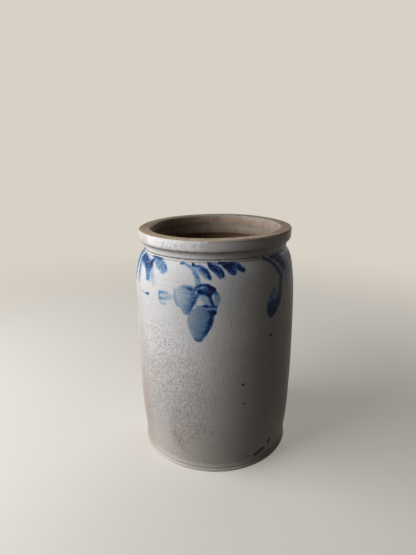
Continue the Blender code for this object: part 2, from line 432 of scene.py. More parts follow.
# The two hanging petals with their caps, veins and outlines.
HANGING_FLOWER = strokes(
    (*UPPER_PETAL, (0.04, 0.16), 1.5),
    (*UPPER_PETAL, (0.19, 0.22), 1.5, 0.0, 0.95),
    ((-26.3, 236.0), (-24.2, 218.5), (1.2, 1.6, 1.3), (0.20, 0.24), 1.6, -1.2),
    ((-12.0, 238.0), (-8.2, 235.6), (1.7, 2.1, 1.8), (0.40, 0.50), 1.5),
    ((-9.2, 237.0), (-15.2, 215.0), (1.7, 2.6, 1.9), (0.62, 0.16), 1.8, -0.5, 0.15),
    ((-13.4, 235.6), (-15.6, 224.0), (2.0, 2.6, 1.6), (0.20, 0.12), 2.0),
    ((-20.6, 240.0), (-12.0, 239.4), (1.5, 2.3, 1.8), (0.12, 0.34), 1.5, 0.6),
    ((-17.0, 238.6), (-15.0, 238.2), (1.3, 1.5, 1.3), (0.44, 0.44), 1.2),
    ((-11.2, 241.0), (-0.8, 239.2), (1.3, 2.1, 2.5), (0.50, 1.0), 1.1, 3.4, 0.2),
    ((-2.4, 240.2), (1.2, 235.4), (2.4, 2.2, 1.2), (0.88, 0.50), 1.5, 0.4),
    ((-9.2, 238.0), (-2.0, 236.6), (2.0, 3.6, 3.2), (0.62, 0.66), 1.8, 1.0),
    ((-9.4, 235.0), (-3.4, 233.4), (1.8, 2.4, 2.1), (0.56, 0.80), 1.6, 0.4),
    ((-7.2, 230.6), (-4.2, 224.0), (3.4, 4.0, 3.2), (0.24, 0.26), 2.0),
    ((-3.8, 233.0), (-1.0, 221.4), (1.7, 2.1, 1.7), (0.74, 0.62), 1.5, 0.3),
    ((1.0, 232.8), (1.5, 223.4), (2.7, 4.2, 2.1), (0.40, 0.28), 1.5, 1.0),
    ((0.9, 220.4), (-11.2, 219.2), (1.4, 2.0, 1.6), (0.62, 0.30), 1.5),
    ((-7.2, 220.2), (-5.0, 220.8), (1.3, 1.7, 1.4), (0.50, 0.66), 1.2),
    ((-6.2, 217.2), (0.4, 216.8), (1.3, 1.8, 1.5), (0.26, 0.46), 1.8),
    (*LOWER_PETAL, (0.15, 0.22), 1.2),
    (*LOWER_PETAL, (0.18, 0.14), 1.2, 0.0, 1.0),
    ((-1.4, 211.5), (-7.2, 184.2), (2.1, 2.2, 1.8), (0.72, 0.32), 2.2, 0.9, 0.25),
    ((-3.6, 214.2), (-0.3, 213.2), (1.7, 2.6, 2.3), (0.70, 1.0), 1.6),
    ((-17.7, 206.0), (-13.3, 182.2), (0.7, 0.9, 1.2), (0.06, 0.16), 1.2, -2.2),
    ((-12.4, 181.0), (-8.5, 180.2), (1.4, 1.8, 1.4), (0.20, 0.24), 1.6, -0.6),
)

# The grey that the pigment has smoked the glaze with, under both petals.
FLOWER_SMOKE = strokes(
    (*LOWER_PETAL, (0.34, 0.38), 1.4),
    (*UPPER_PETAL, (0.11, 0.22), 1.6),
)

# The thin stem that the petals hang on.
FLOWER_STEM = strokes(
    ((-24.1, 264.6), (-21.6, 264.7), (1.0, 1.3, 0.9), (0.50, 0.46), 1.0),
    ((-22.6, 264.3), (-10.8, 244.2), (0.9, 2.6, 4.2), (0.36, 0.36), 1.5, 6.0, 0.35),
)

# The leaves under the neck, right of the stem.
SHOULDER_LEAVES = strokes(
    ((-14.9, 264.4), (-14.0, 263.8), (1.4, 1.5, 1.2), (0.98, 0.90), 0.8),
    ((-13.2, 263.0), (-4.6, 252.8), (1.2, 5.0, 3.2), (0.48, 0.50), 1.4, 0.8, 0.45),
    ((-12.6, 263.8), (-3.0, 251.4), (0.9, 1.9, 1.9), (0.50, 0.62), 1.6, 3.8),
    ((-4.5, 266.4), (0.3, 259.4), (1.3, 3.0, 2.0), (1.15, 1.05), 1.3, -0.5),
    ((-2.9, 264.5), (3.9, 254.2), (1.6, 5.4, 3.8), (0.68, 0.68), 1.4, 1.2, 0.2),
    ((2.6, 263.0), (5.6, 253.2), (1.0, 1.7, 1.5), (0.46, 0.66), 1.3, 1.0),
    ((-3.6, 266.4), (2.6, 265.8), (1.0, 1.3, 0.9), (0.40, 0.30), 1.1),
    ((3.0, 266.7), (12.8, 265.0), (1.2, 1.9, 1.5), (1.1, 1.0), 1.0),
    ((4.6, 265.6), (12.2, 257.4), (1.2, 5.0, 3.6), (0.80, 0.66), 1.5, 0.8),
    ((5.0, 265.0), (9.6, 261.2), (1.2, 2.6, 1.8), (1.0, 0.84), 1.3),
    ((10.4, 264.6), (18.4, 258.8), (3.0, 4.2, 2.9), (0.66, 0.68), 1.5, 1.4),
    ((15.0, 264.8), (20.0, 258.2), (1.1, 1.5, 1.2), (0.46, 0.56), 1.2, 0.6),
)

# The faint leaf left of the petals.
SIDE_LEAF = strokes(
    ((-36.8, 225.8), (-30.5, 227.4), (4.6, 4.8, 3.2), (0.13, 0.07), 2.4),
    ((-38.6, 229.7), (-32.0, 231.4), (1.6, 2.0, 1.4), (0.34, 0.22), 1.6),
    ((-38.7, 229.4), (-38.0, 221.4), (1.2, 1.3, 1.2), (0.26, 0.18), 1.4, -0.4),
    ((-37.8, 222.2), (-29.0, 225.0), (1.9, 1.7, 1.0), (0.24, 0.14), 1.7),
    ((-37.6, 218.0), (-33.0, 217.9), (1.2, 1.9, 1.2), (0.25, 0.20), 1.5, -0.8),
    ((-32.5, 229.0), (-27.4, 226.4), (2.2, 2.8, 2.0), (0.11, 0.11), 2.2),
)

# The dark spray at the left, under the neck.
LEFT_SPRAY = strokes(
    ((-75.0, 262.6), (-77.0, 231.0), (9.0, 7.0, 3.6), (0.45, 0.42), 2.0),
    ((-66.0, 259.0), (-65.2, 233.0), (4.6, 4.4, 2.2), (0.42, 0.34), 1.8),
    ((-62.0, 262.0), (-51.6, 242.4), (3.6, 5.0, 4.4), (0.52, 0.42), 1.8, 4.4),
    ((-66.0, 260.6), (-50.6, 258.8), (3.4, 4.6, 4.0), (0.34, 0.30), 3.0),
    ((-65.2, 264.6), (-62.4, 259.0), (1.4, 1.9, 1.2), (0.78, 0.66), 1.2, 0.8),
    ((-60.5, 258.0), (-50.0, 255.4), (5.0, 6.0, 4.4), (0.40, 0.40), 2.6),
    ((-49.8, 261.4), (-50.6, 254.4), (2.0, 3.2, 1.8), (0.68, 0.56), 2.2),
    ((-50.0, 259.6), (-48.3, 265.2), (0.9, 1.2, 1.3), (0.82, 0.76), 1.0),
    ((-46.0, 262.8), (-36.8, 256.0), (3.4, 6.2, 5.0), (0.46, 0.44), 2.2, 0.8, 0.2),
    ((-37.8, 262.2), (-33.8, 255.6), (1.1, 1.8, 1.4), (0.18, 0.26), 1.4, 0.8),
    ((-49.0, 252.0), (-45.0, 239.0), (4.4, 5.4, 3.6), (0.26, 0.14), 3.2),
    ((-52.5, 266.0), (-40.6, 265.7), (0.8, 0.9, 0.8), (0.70, 0.58), 0.9),
    ((-62.6, 224.6), (-49.9, 223.2), (0.6, 0.9, 1.5), (0.15, 0.46), 1.0, -2.2),
    ((-51.2, 222.9), (-49.8, 223.3), (1.3, 1.5, 1.3), (0.42, 0.42), 1.0),
)

# The heavy bent stem at the right.
RIGHT_STEM = strokes(
    ((36.7, 267.2), (50.5, 243.0), (1.3, 2.1, 3.0), (0.98, 0.90), 1.2, 4.4),
    ((50.5, 243.5), (46.8, 217.0), (3.0, 3.2, 3.6), (0.90, 0.92), 1.4, 0.5),
    ((46.8, 218.0), (39.8, 201.2), (3.8, 4.4, 2.6), (0.94, 0.96), 1.6, 1.2),
)

# Two touches of the brush near the foot.
FOOT_DASHES = strokes(
    ((31.6, 14.1), (38.4, 18.8), (2.6, 3.0, 2.4), (1.2, 1.2), 0.7),
    ((43.4, 24.2), (45.2, 26.6), (2.1, 2.5, 1.8), (1.2, 1.2), 0.7),
)

# The bud on the heavy stem and the leaves to the right of it.
RIGHT_BUD = strokes(
    ((42.5, 229.0), (40.2, 208.0), (4.0, 8.2, 6.0), (0.26, 0.48), 1.9),
    ((40.6, 213.0), (39.0, 203.0), (6.2, 6.4, 3.4), (0.56, 0.80), 1.7),
    ((42.5, 231.5), (36.4, 206.0), (0.9, 1.2, 1.5), (0.22, 0.56), 1.4, -4.5),
    ((44.1, 266.9), (57.3, 265.6), (1.3, 2.1, 1.8), (0.86, 0.74), 1.2),
    ((48.0, 265.2), (56.0, 254.0), (2.2, 4.2, 3.0), (0.84, 0.72), 1.7, 0.6),
    ((52.0, 264.0), (59.0, 246.0), (4.5, 6.4, 4.4), (0.46, 0.34), 2.5),
    ((57.5, 250.0), (58.8, 226.0), (2.6, 2.4, 1.2), (0.30, 0.18), 1.9),
    ((62.2, 256.0), (64.5, 233.0), (2.0, 2.4, 1.4), (0.32, 0.20), 1.9),
    ((62.0, 265.4), (74.0, 257.0), (2.0, 4.2, 3.0), (0.62, 0.50), 2.0, 1.0),
    ((73.0, 265.4), (85.0, 254.0), (1.6, 4.6, 3.2), (0.72, 0.56), 1.6, 1.2, 0.2),
)

# Work that lies smooth, and work that the glaze has broken up.
SMOOTH_WORK = HANGING_FLOWER + RIGHT_STEM
BROKEN_WORK = FLOWER_STEM + SHOULDER_LEAVES + SIDE_LEAF + LEFT_SPRAY + RIGHT_BUD

# Iron spots that have melted through the glaze.
IRON_MARKS = strokes(
    ((39.0, 177.4), (39.9, 176.4), (1.8, 2.0, 1.8), (0.88, 0.88), 1.1),
    ((18.2, 122.0), (19.0, 121.6), (1.5, 1.5, 1.4), (0.9, 0.9), 0.9),
    ((19.6, 96.0), (19.8, 95.6), (1.4, 1.4, 1.4), (0.80, 0.80), 0.7),
    ((7.6, 144.1), (7.7, 144.0), (0.8, 0.8, 0.8), (0.5, 0.5), 0.5),
    ((-1.9, 60.5), (-1.8, 60.3), (1.0, 1.0, 1.0), (0.55, 0.55), 0.6),
    ((-48.9, 260.4), (-49.9, 256.2), (1.4, 2.0, 1.5), (0.92, 0.92), 1.1),
)

# Warmer and darker stretches of the glaze, and painted shade down the wall's left edge and along the collar's
# left, where they turn from the light.
BLUSH_AND_SHADE_MARKS = strokes(
    ((-4.0, 290.6), (34.0, 290.6), (0.9, 1.1, 0.9), (0.60, 0.60), 0.8),
    ((-6.0, 285.0), (60.0, 285.0), (6.0, 7.0, 6.0), (0.26, 0.30), 5.0),
    ((-56.0, 278.9), (-18.0, 278.6), (0.6, 1.0, 0.6), (0.40, 0.46), 0.9),
    ((-30.2, 56.0), (-25.3, 31.0), (4.0, 7.0, 5.0), (0.24, 0.30), 6.0),
    ((-28.8, 52.0), (-26.4, 36.0), (1.0, 1.6, 1.0), (0.24, 0.24), 2.0, 0.6),
    ((-62.0, 120.0), (-58.0, 46.0), (6.0, 9.0, 7.0), (0.08, 0.12), 7.0),
    # Painted shade down the wall's left edge.
    ((-74.0, 262.0), (-68.0, 10.0), (18.0, 24.0, 22.0), (0.20, 0.38), 14.0, 3.0),
    # Painted shade along the collar's left.
    ((-104.0, 284.0), (-58.0, 285.0), (6.0, 8.0, 7.0), (0.40, 0.40), 7.0),
    ((-8.0, 274.6), (40.0, 274.4), (2.4, 3.6, 2.6), (0.26, 0.50), 3.0),
    ((6.0, 150.0), (22.0, 90.0), (10.0, 16.0, 10.0), (0.10, 0.10), 12.0),
)

# Where the salt has pitted and wrinkled the glaze, and where the painted glints and shade of its relief are
# strongest.
PITTED_PATCHES = strokes(
    ((-30.4, 62.0), (-25.0, 30.0), (4.0, 7.0, 5.0), (1.0, 1.0), 7.0),
    ((-36.0, 168.0), (-23.0, 45.0), (26.0, 30.0, 18.0), (0.80, 0.95), 34.0),
    ((-58.0, 200.0), (-48.0, 70.0), (16.0, 24.0, 18.0), (0.45, 0.70), 24.0),
    ((-14.0, 150.0), (-6.0, 60.0), (12.0, 18.0, 12.0), (0.35, 0.45), 20.0),
    ((-40.0, 283.0), (-8.0, 285.0), (6.0, 7.0, 5.0), (0.75, 0.5), 6.0),
)


@dataclass(frozen=True)
class SaltGlaze:
    """The crock's finish: grey salt glaze outside, brown slip inside, bare clay below, cobalt on the wall.

    Attributes:
        warm_heights, foot_heights, bead_highlight_heights: mm between which each of these tints fades out
        upwards; the pale band on the foot's bead is partly thin glaze and partly a painted highlight.
        collar_light_heights: mm between which the collar's paler grey comes in, painted light that brightens
            the collar's face.
        back_fade: metres along Y between which the front gives way to the back.
        peel_depth, peel_strength: the height of the glaze's relief and how much of it is seen.
        cobalt_absorbs: how strongly a full layer of cobalt takes away red, green and blue.
        cobalt_layers: rows of (load of the brush, thickness of the layer, how far it is burnt black).
    """

    # The collar's paler grey is painted light on its face.
    collar: Paint = srgb(225, 225, 226)
    pale: Paint = srgb(209, 209, 210)
    middle: Paint = srgb(199, 198, 198)
    warm: Paint = srgb(180, 173, 169)
    speck: Paint = srgb(92, 80, 70)
    iron: Paint = srgb(40, 27, 24)
    # Also the colour of the painted shade on the left edge.
    blush_and_shade: Paint = srgb(150, 126, 112)
    smoke: Paint = srgb(118, 122, 130)
    foot_pale: Paint = srgb(222, 216, 210)
    rim: Paint = srgb(146, 128, 107)
    rim_dark: Paint = srgb(108, 91, 72)
    rim_pale: Paint = srgb(168, 154, 137)
    rim_front_pale: Paint = srgb(204, 184, 160)
    # Dirt in the grooves, and painted shade under the collar.
    groove_dirt_and_shade: Paint = srgb(92, 73, 58)
    lip: Paint = srgb(158, 150, 142)
    lip_edge: Paint = srgb(164, 140, 122)
    slip: Paint = srgb(159, 146, 133)
    slip_tan: Paint = srgb(138, 115, 92)
    slip_deep: Paint = srgb(98, 74, 53)
    clay: Paint = srgb(176, 160, 138)
    warm_heights: Pair = (40.0, 235.0)
    collar_light_heights: Pair = (279.0, 284.0)
    foot_heights: Pair = (8.0, 66.0)
    bead_highlight_heights: Pair = (2.8, 4.6)
    back_fade: Pair = (-0.01, 0.07)
    specular: float = 0.13
    peel_depth: float = 0.65 * MM
    peel_strength: float = 0.9
    cobalt_absorbs: Triple = (5.0, 3.0, 1.3)
    cobalt_layers: tuple[Triple, ...] = (
        (0.0, 0.0, 0.0),
        (0.12, 0.07, 0.0),
        (0.30, 0.22, 0.0),
        (0.50, 0.50, 0.05),
        (0.70, 0.88, 0.30),
        (0.86, 1.15, 0.75),
        (1.0, 1.5, 1.6),
    )

    def build(self) -> bpy.types.Material:
        """Makes the material.

        Returns:
            The material, for a mesh that holds the crock's marks.
        """
        material, sheet, shader = new_material("salt_glaze")
        place = sheet.place()
        angle, height, front = self._wall_coordinates(sheet, place)
        brush = StrokeBrush(sheet, angle, height)
        pitted = brush.paint(PITTED_PATCHES)
        peel = self._peel(sheet, place, pitted)
        pigment = self._pigment(sheet, place, brush)
        pigment = sheet.math("MAXIMUM", pigment, sheet.times(brush.paint(FOOT_DASHES), front))
        iron = sheet.times(brush.paint(IRON_MARKS), front)
        wall = self._wall_colour(sheet, place, height, peel, pitted)
        # Blush, with painted shade on the left edge.
        wall = sheet.mix(brush.paint(BLUSH_AND_SHADE_MARKS), wall, self.blush_and_shade)
        wall = sheet.mix(brush.paint(FLOWER_SMOKE), wall, self.smoke)
        wall = sheet.mix(1.0, wall, sheet.ramp(pigment, self._cobalt_stops()), "MULTIPLY")
        wall = sheet.mix(iron, wall, self.iron)
        dressed = self._edges(sheet, place, wall, pitted)
        sheet.feed(shader.inputs["Base Color"], dressed)
        sheet.feed(shader.inputs["Roughness"], self._roughness(sheet, place))
        sheet.feed(shader.inputs["Specular IOR Level"], self.specular)
        sheet.feed(shader.inputs["Normal"], sheet.bump(peel, self.peel_depth, self.peel_strength))
        return material

    def _cobalt_stops(self) -> list[tuple[float, Paint]]:
        """The light that cobalt lets back, from none laid to a thick pool burnt black.

        Returns:
            Rows of the brush's load and the red, green and blue that come back.
        """
        return [
            (share, (*(math.exp(-absorbs * layer - burnt) for absorbs in self.cobalt_absorbs), 1.0))
            for share, layer, burnt in self.cobalt_layers
        ]

    def _wall_coordinates(self, sheet: NodeSheet, place: Socket) -> tuple[Socket, Socket, Socket]:
        """Where on the wall a point is, shaken a little as by a hand and the glaze's run.

        Args:
            sheet: the material's nodes.
            place: the point in the crock's own frame.

        Returns:
            Degrees round the crock, mm above the base, and 1 on the front fading to 0 on the back.
        """
        x, y, z = sheet.split(place)
        angle = sheet.math("DEGREES", sheet.math("ARCTAN2", x, sheet.times(y, -1.0)))
        height = sheet.times(z, 1 / MM)
        back = sheet.span(y, *self.back_fade)
        # Each shake has its waves in a metre, its reach in mm and where it acts, if not everywhere.
        shakes = ((170.0, 0.8, None), (560.0, 0.6, None), (16.0, 13.0, back))
        for scale, reach, mask in shakes:
            shake = sheet.add("ShaderNodeSeparateXYZ")
            sheet.feed(shake.inputs[0], sheet.noise(place, scale, output="Color"))
            sides = []
            for output in shake.outputs[:2]:
                moved = sheet.times(sheet.minus(output, 0.5), 2 * reach)
                sides.append(moved if mask is None else sheet.times(moved, mask))
            angle = sheet.plus(angle, sheet.math("DIVIDE", sides[0], StrokeBrush.MM_PER_DEGREE))
            height = sheet.plus(height, sides[1])
        return angle, height, sheet.minus(1.0, back)

    def _peel(self, sheet: NodeSheet, place: Socket, pitted: Socket) -> Socket:
        """The salt glaze's relief: orange peel, with pits and wrinkles where it is pitted.

        Args:
            sheet: the material's nodes.
            place: the point in the crock's own frame.
            pitted: how pitted the glaze is, 0 to 1.

        Returns:
            Its height, about 0 to 1.
        """
        pits = sheet.span(sheet.cells(place, 310.0, 0.6), 0.14, 0.50)
        grain = sheet.noise(place, 800.0)
        drawn = sheet.stretched(place, (1.0, 1.0, 1.1))
        folds = sheet.noise(drawn, 310.0, rough=0.6, warp=0.8)
        contour = sheet.math("ABSOLUTE", sheet.minus(folds, 0.5))
        wrinkles = sheet.span(contour, 0.005, 0.075)
        patchy = sheet.span(sheet.noise(place, 13.0), 0.42, 0.66, 0.04, 0.26)
        where = sheet.math("MAXIMUM", pitted, patchy)
        rough = sheet.times(sheet.minus(wrinkles, 0.75), where)
        pits = sheet.times(pits, sheet.times_plus(where, 0.25, 0.20))
        base = sheet.times_plus(grain, 0.30, pits)
        thrown = sheet.noise(sheet.stretched(place, (0.04, 0.04, 1.0)), 620.0)
        base = sheet.times_plus(thrown, 0.14, base)
        swell = sheet.minus(sheet.noise(drawn, 230.0, rough=0.6), 0.5)
        base = sheet.times_plus(sheet.times(swell, where), 0.80, base)
        return sheet.times_plus(rough, 0.62, base)

    def _pigment(self, sheet: NodeSheet, place: Socket, brush: StrokeBrush) -> Socket:
        """The cobalt, with the streaks of the brush and the breaks of the glaze.

        Args:
            sheet: the material's nodes.
            place: the point in the crock's own frame.
            brush: the brush that lays the strokes.

        Returns:
            How thick it lies, 0 to 1.
        """
        smooth = brush.paint(SMOOTH_WORK)
        laid = brush.paint(BROKEN_WORK)
        streaks = sheet.noise(sheet.stretched(place, (0.16, 0.16, 1.0)), 620.0)
        grains = sheet.span(sheet.noise(place, 500.0, rough=0.6), 0.32, 0.66, 0.66, 1.22)
        pools = sheet.span(sheet.noise(place, 150.0), 0.30, 0.70, 0.86, 1.12)
        share = sheet.span(streaks, 0.30, 0.70, 0.86, 1.12)
        broken = sheet.times(sheet.times(grains, pools), share)
        laid = sheet.times(laid, broken, clamp=True)
        smooth = sheet.times(smooth, sheet.span(streaks, 0.34, 0.66, 0.84, 1.12), clamp=True)
        bare = sheet.times(sheet.minus(1.0, laid), sheet.minus(1.0, smooth))
        return sheet.minus(1.0, bare)

    def _wall_colour(
        self, sheet: NodeSheet, place: Socket, height: Socket, peel: Socket, pitted: Socket
    ) -> Socket:
        """The grey of the glaze with its blotches and specks, warmer towards the foot, with painted glints on
        the proud peel and painted shade in its hollows and pits.

        Args:
            sheet: the material's nodes.
            place: the point in the crock's own frame.
            height: mm above the base.
            peel: the height of the relief.
            pitted: how pitted the glaze is, 0 to 1, which strengthens the painted glints and shade.

        Returns:
            The colour.
        """
        cloud = sheet.noise(place, 11.0, detail=4.0, rough=0.6)
        colour = sheet.ramp(cloud, ((0.30, self.middle), (0.62, self.pale)))
        low = sheet.span(height, *self.warm_heights, 1.0, 0.0)
        colour = sheet.mix(sheet.times(low, sheet.span(cloud, 0.70, 0.36, 0.7, 1.0)), colour, self.warm)
        # Painted light: the collar's face is paler than the wall.
        colour = sheet.mix(sheet.span(height, *self.collar_light_heights), colour, self.collar)
        colour = sheet.mix(sheet.span(height, *self.foot_heights, 0.26, 0.0), colour, self.foot_pale)
        # The foot's bead: partly thin glaze, partly a painted highlight where it catches the light.
        colour = sheet.mix(sheet.span(height, *self.bead_highlight_heights, 0.5, 0.0), colour, self.foot_pale)
        flecks = sheet.span(sheet.noise(place, 430.0), 0.66, 0.76, 0.0, 0.17)
        colour = sheet.mix(flecks, colour, self.speck)
        # Painted light: lighter on the proud peel for glints, darker in its hollows for shade.
        hollow_shade = sheet.span(pitted, 0.0, 1.0, 0.91, 0.66)
        proud_glint = sheet.span(pitted, 0.0, 1.0, 1.04, 1.20)
        peel_glint_and_shade = sheet.span(peel, 0.06, 0.62, hollow_shade, proud_glint)
        shade = sheet.add("ShaderNodeCombineXYZ")
        for socket in shade.inputs:
            sheet.feed(socket, peel_glint_and_shade)
        return sheet.mix(1.0, colour, shade.outputs[0], "MULTIPLY")

    def _edges(self, sheet: NodeSheet, place: Socket, wall: Socket, pitted: Socket) -> Socket:
        """The wall with its grooves darkened by dirt and by painted shade, its worn rim, the slipped inside
        and the bare base.

        Args:
            sheet: the material's nodes.
            place: the point in the crock's own frame.
            wall: the colour of the painted wall.
            pitted: how pitted the glaze is, 0 to 1.

        Returns:
            The colour of the whole crock.
        """
        ragged = sheet.noise(place, 260.0, detail=3.0, rough=0.6)
        toothed = sheet.noise(sheet.stretched(place, (1.0, 1.0, 0.25)), 420.0, detail=1.0)
        teeth = sheet.times(sheet.minus(toothed, 0.5), sheet.span(pitted, 0.0, 0.8, 0.15, 1.2))
        # Dirt in the cut lines, and painted shade in the recess under the collar.
        dirt_and_shade = sheet.plus(sheet.attribute("groove_dirt_and_shade"), teeth)
        groove_dirt_and_shade = sheet.times(sheet.span(dirt_and_shade, 0.15, 0.95), sheet.span(ragged, 0.28, 0.56, 0.45, 0.95))
        colour = sheet.mix(groove_dirt_and_shade, wall, self.groove_dirt_and_shade)
        patch = sheet.noise(place, 120.0, detail=4.0, rough=0.65)
        rim_colour = self._rim_colour(sheet, place, patch)
        edge = sheet.plus(sheet.attribute("rim"), sheet.times_plus(ragged, 0.8, -0.4))
        colour = sheet.mix(sheet.span(edge, 0.35, 0.70), colour, rim_colour)
        inside_colour = self._inside_colour(sheet, place, patch)
        colour = sheet.mix(sheet.span(sheet.attribute("inside"), 0.35, 0.65), colour, inside_colour)
        return sheet.mix(sheet.attribute("bare"), colour, self.clay)

    def _rim_colour(self, sheet: NodeSheet, place: Socket, patch: Socket) -> Socket:
        """The worn rim in patches, paler at the front and the left.

        Args:
            sheet: the material's nodes.
            place: the point in the crock's own frame.
            patch: a noise for its patches, about 0.5 in the middle.

        Returns:
            The colour.
        """
        colour = sheet.ramp(patch, ((0.30, self.rim_dark), (0.52, self.rim), (0.75, self.rim_pale)))
        x, y, _ = sheet.split(place)
        rear = sheet.times_plus(x, 0.35, y)
        front_pale = sheet.span(rear, -0.085, -0.02, 0.60, 0.0)
        front_pale = sheet.times(front_pale, sheet.span(patch, 0.36, 0.52, 0.5, 1.0))
        return sheet.mix(front_pale, colour, self.rim_front_pale)

    def _inside_colour(self, sheet: NodeSheet, place: Socket, patch: Socket) -> Socket:
        """The slip from the lip downwards, in bands that wander, pooled dark in patches.

        Args:
            sheet: the material's nodes.
            place: the point in the crock's own frame.
            patch: a noise for its patches, about 0.5 in the middle.

        Returns:
            The colour.
        """
        wander = sheet.times_plus(sheet.noise(place, 70.0, detail=3.0, rough=0.6), 0.016, -0.008)
        bands_down = (
            (0.0, self.lip),
            (0.013, self.lip),
            (0.019, self.lip_edge),
            (0.027, self.lip_edge),
            (0.036, self.slip),
            (0.060, self.slip),
            (0.090, self.slip_tan),
            (0.17, self.slip_deep),
        )
        colour = sheet.ramp(sheet.plus(sheet.attribute("depth"), wander), bands_down)
        return sheet.mix(sheet.span(patch, 0.44, 0.70, 0.0, 0.35), colour, self.slip_deep)

    def _roughness(self, sheet: NodeSheet, place: Socket) -> Socket:
        """Satin on the glaze, dull on the worn rim and the bare base.

        Args:
            sheet: the material's nodes.
            place: the point in the crock's own frame.

        Returns:
            The roughness, 0 to 1.
        """
        glaze = sheet.span(sheet.noise(place, 60.0, detail=3.0), 0.3, 0.7, 0.40, 0.54)
        worn = sheet.math("MAXIMUM", sheet.attribute("rim"), sheet.attribute("bare"))
        return sheet.times_plus(worn, 0.30, glaze)


class Zone(IntEnum):
    """Stretches of the crock's profile that are finished differently."""

    OUTSIDE = 0
    RIM = 1
    INSIDE = 2


def sweep(points: Outline, step: float) -> np.ndarray:
    """Points on a Bezier curve of any order.

    Args:
        points: its control points, (radius, height) in metres.
        step: about how far apart the returned points are.

    Returns:
        An array of (radius, height), both ends included.
    """
    controls = np.array(points)
    length = np.linalg.norm(np.diff(controls, axis=0), axis=1).sum()
    share = np.linspace(0.0, 1.0, max(2, round(length / step) + 1))[:, None]
    rows = [controls[i] * np.ones_like(share) for i in range(len(controls))]
    while len(rows) > 1:
        rows = [a * (1 - share) + b * share for a, b in zip(rows, rows[1:])]
    return rows[0]


def arc(centre: Pair, radius: float, start: float, end: float, step: float) -> np.ndarray:
    """Points on a circular arc of the profile.

    Args:
        centre: its middle, (radius, height) in metres.
        radius: the arc's own radius.
        start: the angle that it starts at, in degrees.
        end: the angle that it ends at.
        step: about how far apart the returned points are.

    Returns:
        An array of (radius, height), both ends included.
    """
    count = max(3, round(radius * math.radians(abs(end - start)) / step) + 1)
    turn = np.radians(np.linspace(start, end, count))
    return np.column_stack((centre[0] + radius * np.cos(turn), centre[1] + radius * np.sin(turn)))


def flat(start: float, end: float, height: float, count: int = 11) -> np.ndarray:
    """Points on a level stretch of the profile between two radii, both ends included."""
    return np.column_stack((np.linspace(start, end, count), np.full(count, height)))


def bands(rings: int, sides: int, first: int = 0) -> Iterator[tuple[int, ...]]:
    """Faces with four corners between rings of points.

    Args:
        rings: how many rings there are.
        sides: how many points each ring has.
        first: the number of the first point.

    Returns:
        The point numbers of one face after another.
    """
    for low in range(first, first + (rings - 1) * sides, sides):
        for side in range(sides):
            after = (side + 1) % sides
            yield (low + side, low + after, low + sides + after, low + sides + side)


def link(name: str, data: bpy.types.ID) -> bpy.types.Object:
    """Makes an object and puts it in the scene.

    Args:
        name: the object's name.
        data: its mesh, lamp or camera.

    Returns:
        The object.
    """
    made = bpy.data.objects.new(name, data)
    bpy.context.scene.collection.objects.link(made)
    return made


def bell(value: np.ndarray, middle: float, half_width: float) -> np.ndarray:
    """1 at a middle, falling off smoothly to both sides."""
    return np.exp(-(((value - middle) / half_width) ** 2))


def ripple(waves: Waves, turn: np.ndarray, height: np.ndarray) -> np.ndarray:
    """Adds up waves round the crock, each of (depth, waves in a turn, phase, twist in a metre of height)."""
    return sum(depth * np.sin(count * turn + phase + twist * height) for depth, count, phase, twist in waves)


